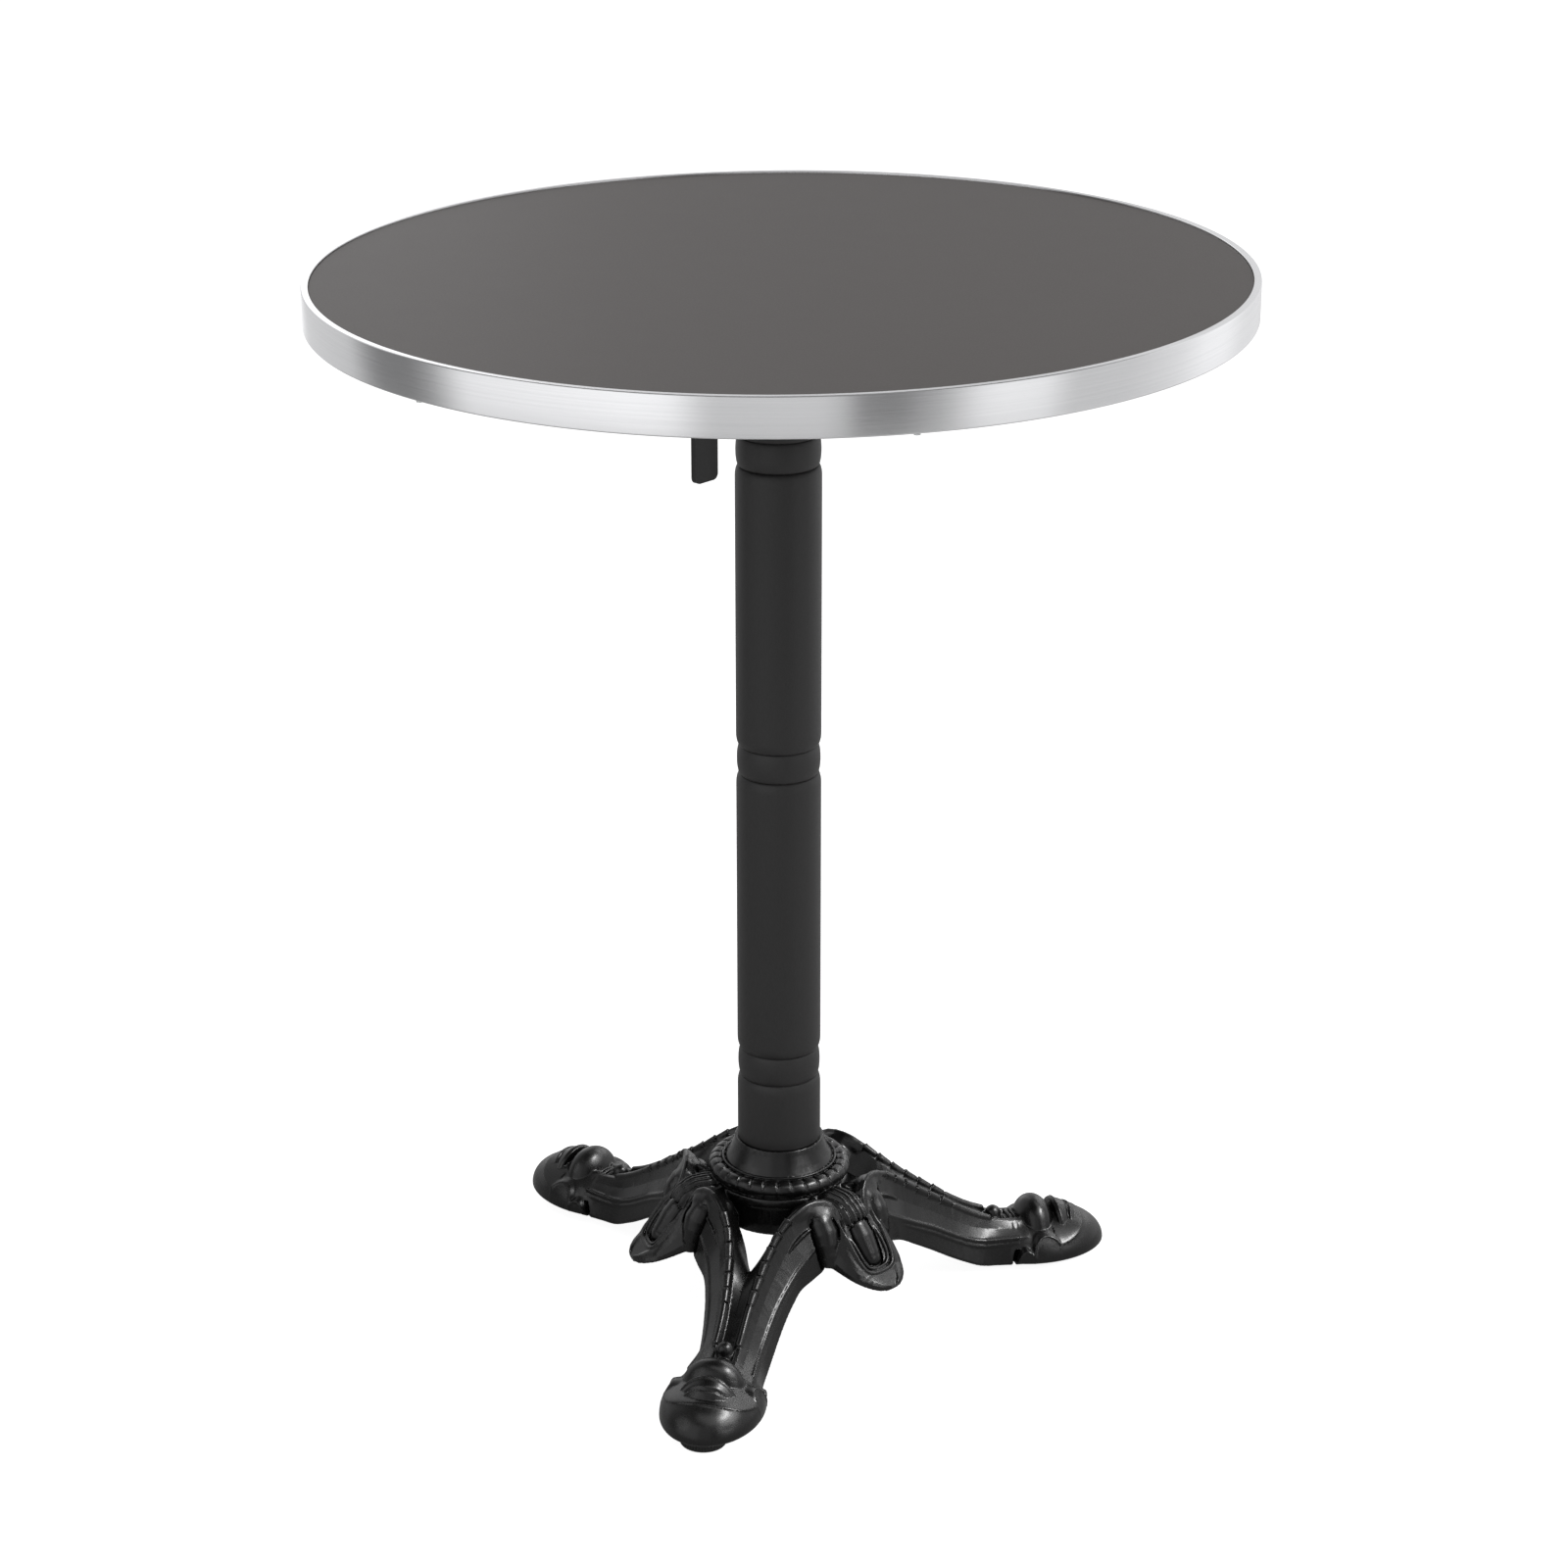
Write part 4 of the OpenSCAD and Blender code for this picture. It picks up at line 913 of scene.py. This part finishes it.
def lever_piece():
    hub = helper("lever_hub", build_lever)
    seat = helper("lever_seat", lambda bm: solid_x(bm, [(LY - 18.4, LZ - 8), (LY - 6.4, LZ - 8), (LY - 6.4, LZ - 5), (LY - 18.4, LZ - 5)], -4.8, 4.8))
    hole = helper("lever_hole", lambda bm: solid_x(bm, [(LY + 4.06 * math.cos(2 * math.pi * k / 48), LZ + 4.06 * math.sin(2 * math.pi * k / 48)) for k in range(48)], -12, 12))
    bar = helper("lever", build_bar)
    for o, op in ((hub, "UNION"), (seat, "UNION"), (hole, "DIFFERENCE")):
        k = bar.modifiers.new("join", "BOOLEAN")
        k.object, k.operation, k.solver = o, op, "EXACT"
    w = bar.modifiers.new("edges", "BEVEL")
    w.width, w.segments, w.limit_method, w.angle_limit = 0.45 * MM, 3, "ANGLE", math.radians(38)
    settle(bar)
    for o in (hub, seat, hole):
        bpy.data.objects.remove(o)
    bar.data.materials.clear()
    bar.data.materials.append(M["lever_black"])
    bar.data.polygons.foreach_set("use_smooth", [True] * len(bar.data.polygons))
    bar.data.set_sharp_from_angle(angle=math.radians(40))
    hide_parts("latch_lever")
    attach(bar, "release_lever")
    return bar


lever_piece()

# ---------------------------------------------------------------- glide pads
PAD_R = 0.5 * (hi_pad[1] - lo_pad[1])
RIBS = 48


def rib(r, z, a):
    if r < PAD_R - 1.2 or z < 0.7 or z > 5.3:
        return 0.0
    g = (a * RIBS / (2 * math.pi)) % 1.0
    return -0.55 * max(0.0, 1 - abs(g - 0.5) / 0.32) ** 0.6 if 0.9 < z < 4.9 else 0.0


pad = [(0, 0.2), (4, 0.2), (9.5, 0.2), (10, 0), (PAD_R - 1.2, 0), (PAD_R - 0.55, 0.25), (PAD_R - 0.15, 0.75), (PAD_R, 1.1), (PAD_R, 1.9), (PAD_R, 2.7), (PAD_R, 3.5), (PAD_R, 4.0),
       (PAD_R - 0.2, 4.6), (PAD_R - 0.7, 5.1), (PAD_R - 1.4, 5.3), (12.5, 5.45), (11.0, 5.6), (10.55, 5.85), (10.3, 7.0), (10.2, 7.35), (9.9, 7.6), (6.4, 7.6), (6.1, 7.3), (6.1, 6.6), (8.9, 6.6), (8.9, 3), (0, 3)]
for side in ("front", "right", "left"):
    lo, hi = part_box(side + "_glide_pad")
    c = (0.5 * (lo.x + hi.x) / MM, 0.5 * (lo.y + hi.y) / MM)
    V, Fc = lathe(pad, RIBS * 6, centre=c, swell=rib)
    piece(side + "_pad", V, Fc, side + "_glide_foot", [side + "_glide_pad"], M["glide_plastic"], sharp=35)

# ---------------------------------------------------------------- glide studs: flange held in the pad, hexagon, thread
def stud_shape(name, c, body, node):
    prof = [(0, 3.1), (8.4, 3.1), (8.8, 3.4), (8.8, 6.1), (8.5, 6.5), (5.3, 6.5), (5.0, 6.8), (5.0, 8.2), (6.6, 8.2), (6.6, 11.4), (5.2, 11.6), (4.4, 11.9)]
    z = 12.2
    while z < 22.2:
        prof += [(4.25, z), (4.9, z + 0.62), (4.9, z + 0.80), (4.25, z + 1.42)]
        z += 1.5
    prof += [(4.2, z), (3.9, 23.4), (0, 23.4)]
    V, Fc = lathe(prof, 64, centre=c)
    n = len(V)
    # hexagon collar, as a closed ring round the shank
    rings = [(6.2, 8.2, 48), (7.6, 8.2, 6), (8.1, 8.6, 6), (8.1, 11.2, 6), (7.6, 11.6, 6), (6.2, 11.6, 48)]
    m = 48
    W = []
    for r, zz, k in rings:
        for i in range(m):
            a = 2 * math.pi * i / m
            rr = r
            if k == 6:
                w = (a + math.pi / 6) % (math.pi / 3) - math.pi / 6
                rr = min(r, 7.0 / max(math.cos(w), 0.1)) if r > 7.7 else min(r, 6.8 / max(math.cos(w), 0.1))
            W.append((c[0] + rr * math.cos(a), c[1] + rr * math.sin(a), zz))
    for q in range(len(rings)):
        for i in range(m):
            j = (i + 1) % m
            u, w = n + q * m, n + ((q + 1) % len(rings)) * m
            Fc.append([u + i, u + j, w + j, w + i])
    piece(name, V + W, Fc, body, [node], M["zinc_steel"], sharp=35)


for side in ("front", "right", "left"):
    lo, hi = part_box(side + "_glide_pad")
    stud_shape(side + "_stud", (0.5 * (lo.x + hi.x) / MM, 0.5 * (lo.y + hi.y) / MM), side + "_glide_screw", side + "_glide_stud")

# ---------------------------------------------------------------- base casting
STEP = 1.0
V, Q = surface_net(base_sdf, (-240, -214, 3.0), (136, 214, 134), STEP)
V = project(base_sdf, V, STEP, 2)
base = piece("base", V, Q, "pedestal", ["base_casting"], M["cast_black"], sharp=0)
tris = sum(len(p.vertices) - 2 for p in base.data.polygons)
k = base.modifiers.new("thin", "DECIMATE")
k.ratio = min(1.0, 194000 / tris)
settle(base)
base.data.polygons.foreach_set("use_smooth", [True] * len(base.data.polygons))
P = np.empty(len(base.data.vertices) * 3)
base.data.vertices.foreach_get("co", P)
P = project(base_sdf, P.reshape(-1, 3) / MM, STEP, 1)
base.data.vertices.foreach_set("co", (P * MM).ravel())
base.data.update()
N = normals(base_sdf, P)
flat = np.empty(len(P) * 3)
base.data.vertices.foreach_get("normal", flat)
agree = (N * flat.reshape(-1, 3)).sum(1) > 0.7
N[~agree] = 0.0  # points on a crease keep the mesh's own normal
base.data.normals_split_custom_set_from_vertices(N.tolist())
print("normals kept from the field:", float(agree.mean()), "bad", int((~np.isfinite(N)).sum()))
print("base mesh", len(base.data.vertices), len(base.data.polygons))

# ---------------------------------------------------------------- studio
def turn(x, y, z):
    c, s = math.cos(VIEW_AZ), math.sin(VIEW_AZ)
    return Vector((x * c - y * s, x * s + y * c, z))


def softbox(name, at, aim, w, h, power, colour=(1, 1, 1), spread=180, diffuse=1.0, glossy=1.0):
    li = bpy.data.lights.new(name, "AREA")
    li.shape, li.size, li.size_y, li.energy, li.color = "RECTANGLE", w, h, power, colour
    li.diffuse_factor, li.specular_factor = diffuse, glossy
    o = bpy.data.objects.new(name, li)
    p, t = turn(*at), turn(*aim)
    o.matrix_world = Matrix.Translation(p) @ (t - p).to_track_quat("-Z", "Y").to_matrix().to_4x4()
    bpy.context.scene.collection.objects.link(o)
    return o


# floor: one wide pale sheet
bm = bmesh.new()
n = 24
grid = [[bm.verts.new((-6 + 12 * i / n, -6 + 12 * j / n, -0.0004)) for j in range(n + 1)] for i in range(n + 1)]
for i in range(n):
    for j in range(n):
        bm.faces.new((grid[i][j], grid[i + 1][j], grid[i + 1][j + 1], grid[i][j + 1]))
me = bpy.data.meshes.new("floor")
bm.to_mesh(me)
bm.free()
floor = bpy.data.objects.new("floor", me)
bpy.context.scene.collection.objects.link(floor)
g = Graph("floor_pale")
fl = g.noise(g.pos(), 3.0, 2.0)
b = g.add("BsdfPrincipled", {"Base Color": (0.60, 0.60, 0.60, 1), "Roughness": g.fit(fl, 0.3, 0.7, 0.70, 0.80), "Emission Color": (1, 1, 1, 1), "Emission Strength": g.fit(g.add("LightPath").outputs["Is Camera Ray"], 0, 1, 0.06, 0.93)})
below = g.add("MixShader", {0: g.add("NewGeometry").outputs["Backfacing"]})  # nothing hides the underside when it's looked at from below
g.t.links.new(b.outputs[0], below.inputs[1])
g.t.links.new(g.add("BsdfTransparent").outputs[0], below.inputs[2])
g.t.links.new(below.outputs[0], g.add("OutputMaterial").inputs[0])
me.materials.append(g.m)
low = floor.driver_add("location", 2).driver  # the floor goes down with the lowest glide, so that a glide screwed out isn't hidden in it
low.type = "MIN"
for name in ("front_pad", "right_pad", "left_pad"):
    v = low.variables.new()
    v.type = "TRANSFORMS"
    v.targets[0].id = bpy.data.objects[name]
    v.targets[0].transform_type = "LOC_Z"
    v.targets[0].transform_space = "WORLD_SPACE"

# reflection wall round the set: seen only in glossy surfaces; its brightness by direction (degrees from the camera, to the right)
WALL = [(-180, 0.70), (-173, 0.75), (-168, 1.18), (-160, 1.22), (-152, 0.74), (-145, 0.59), (-113, 0.55), (-105, 0.28), (-100, 0.19), (-89, 0.17), (-82, 0.30), (-72, 0.84), (-31, 0.985),
        (-23, 0.95), (-15, 0.55), (9, 0.59), (13, 0.50), (17, 0.21), (25, 0.19), (35, 0.42), (43, 0.81), (48, 0.87), (58, 0.84), (66, 0.54), (82, 0.57), (98, 0.71), (110, 0.90), (120, 0.90), (132, 0.72), (160, 0.66), (180, 0.66)]
bm = bmesh.new()
n, rad = 240, 1.75
lo_ring, hi_ring = [], []
for i in range(n):
    a = 2 * math.pi * i / n
    p = turn(rad * math.sin(a), -rad * math.cos(a), 0)
    lo_ring.append(bm.verts.new((p.x, p.y, 0.0)))
    hi_ring.append(bm.verts.new((p.x, p.y, 2.1)))
for i in range(n):
    j = (i + 1) % n
    bm.faces.new((lo_ring[i], hi_ring[i], hi_ring[j], lo_ring[j]))
me = bpy.data.meshes.new("wall")
bm.to_mesh(me)
bm.free()
wall = bpy.data.objects.new("wall", me)
bpy.context.scene.collection.objects.link(wall)
g = Graph("wall_glow")
x, y, z = g.xyz(g.pos())
cv, sv = math.cos(VIEW_AZ), math.sin(VIEW_AZ)
xf = g.calc("ADD", g.calc("MULTIPLY", x, cv), g.calc("MULTIPLY", y, sv))
yf = g.calc("ADD", g.calc("MULTIPLY", x, -sv), g.calc("MULTIPLY", y, cv))
az = g.calc("ARCTAN2", xf, g.calc("MULTIPLY", yf, -1.0))
t = g.fit(az, -math.pi, math.pi, 0.0, 1.0)
rp = g.add("ValToRGB", {0: t})
el = rp.color_ramp.elements
while len(el) > 1:
    el.remove(el[-1])
for k, (a, v) in enumerate(WALL):
    e = el[0] if k == 0 else el.new((a + 180) / 360)
    e.position = (a + 180) / 360
    e.color = (v, v, v * 1.01, 1)
em = g.add("Emission", {"Color": rp.outputs[0], "Strength": WALL_GAIN})
g.t.links.new(em.outputs[0], g.add("OutputMaterial").inputs[0])
me.materials.append(g.m)
wall.visible_camera = wall.visible_diffuse = wall.visible_shadow = wall.visible_transmission = False

key = softbox("key_overhead", (0.5, -0.3, 2.6), (0, 0, 0.4), 2.6, 2.2, KEY)
rest = bpy.data.collections.new("all_but_band")  # the band has its own key, because this one's reflection would wash its lip out
rest.objects.link(bpy.data.objects["rim_band"])
rest.collection_objects[0].light_linking.link_state = "EXCLUDE"
key.light_linking.receiver_collection = rest
key = softbox("key_band", (0.5, -0.3, 2.6), (0, 0, 0.4), 2.6, 2.2, KEY)
key.visible_glossy = False
band = bpy.data.collections.new("band_only")
band.objects.link(bpy.data.objects["rim_band"])
key.light_linking.receiver_collection = band
softbox("side_right", (2.4, -0.9, 1.7), (0, 0, 0.3), 1.2, 1.6, SIDE).visible_glossy = False
softbox("low_front", (-0.8, -2.6, 0.9), (0, 0, 0.2), 1.4, 0.8, LOW)
softbox("back_right", (1.6, 1.8, 1.5), (0, 0, 0.2), 1.2, 1.2, BACK).visible_glossy = False
blacks = bpy.data.collections.new("blacks")
for o in bpy.data.objects:
    if o.type == "MESH" and o.name in ("base", "front_pad", "right_pad", "left_pad"):
        blacks.objects.link(o)
for name, at, w, h, power in (("gloss_high", (1.75, -0.45, 2.0), 1.1, 1.0, GLOSS[0]), ("gloss_right", (1.75, -1.15, 1.1), 0.45, 0.6, GLOSS[1]), ("gloss_back", (1.2, 1.5, 1.25), 0.8, 0.5, GLOSS[2]), ("gloss_left", (-1.9, -0.6, 1.2), 0.5, 0.6, GLOSS[3])):
    o = softbox(name, at, (0, 0, 0.06), w, h, power)
    o.visible_diffuse = False
    o.visible_camera = False
    o.light_linking.receiver_collection = blacks

w = bpy.data.worlds.new("studio")
bpy.context.scene.world = w
w.use_nodes = True
g = Graph(None, w.node_tree)
lp = g.add("LightPath")
bg1 = g.add("Background", {"Color": (1, 1, 1, 1), "Strength": 1.0})
bg2 = g.add("Background", {"Color": (1, 1, 1, 1), "Strength": AMBIENT})
mx = g.add("MixShader", {0: lp.outputs["Is Camera Ray"]})
g.t.links.new(bg2.outputs[0], mx.inputs[1])
g.t.links.new(bg1.outputs[0], mx.inputs[2])
g.t.links.new(mx.outputs[0], g.add("OutputWorld").inputs[0])

# ---------------------------------------------------------------- camera at the photograph's angle
E_DOWN, ROLL, YAW = math.radians(21.219), math.radians(-1.148), math.radians(-2.688)
fwd = Vector((math.sin(YAW) * math.cos(E_DOWN), math.cos(YAW) * math.cos(E_DOWN), -math.sin(E_DOWN)))
r0 = Vector((math.cos(YAW), -math.sin(YAW), 0))
u0 = r0.cross(fwd)
right = math.cos(ROLL) * r0 + math.sin(ROLL) * u0
up = -math.sin(ROLL) * r0 + math.cos(ROLL) * u0
cam = bpy.data.cameras.new("view")
cam.sensor_width = 36
cam.lens = 3964.915 / 1600 * 36
cam.shift_x = (800 - 600.0) / 1600
cam.shift_y = -(800 - 820.676) / 1600
cam.clip_start, cam.clip_end = 0.05, 60
co = bpy.data.objects.new("view", cam)
R3 = Matrix((turn(*right), turn(*up), turn(*(-fwd)))).transposed()
co.matrix_world = Matrix.Translation(turn(-0.01368, -2.4, 1.293262)) @ R3.to_4x4()
bpy.context.scene.collection.objects.link(co)
bpy.context.scene.camera = co
bpy.context.scene.view_settings.view_transform = "Standard"
bpy.context.scene.view_settings.look = "None"
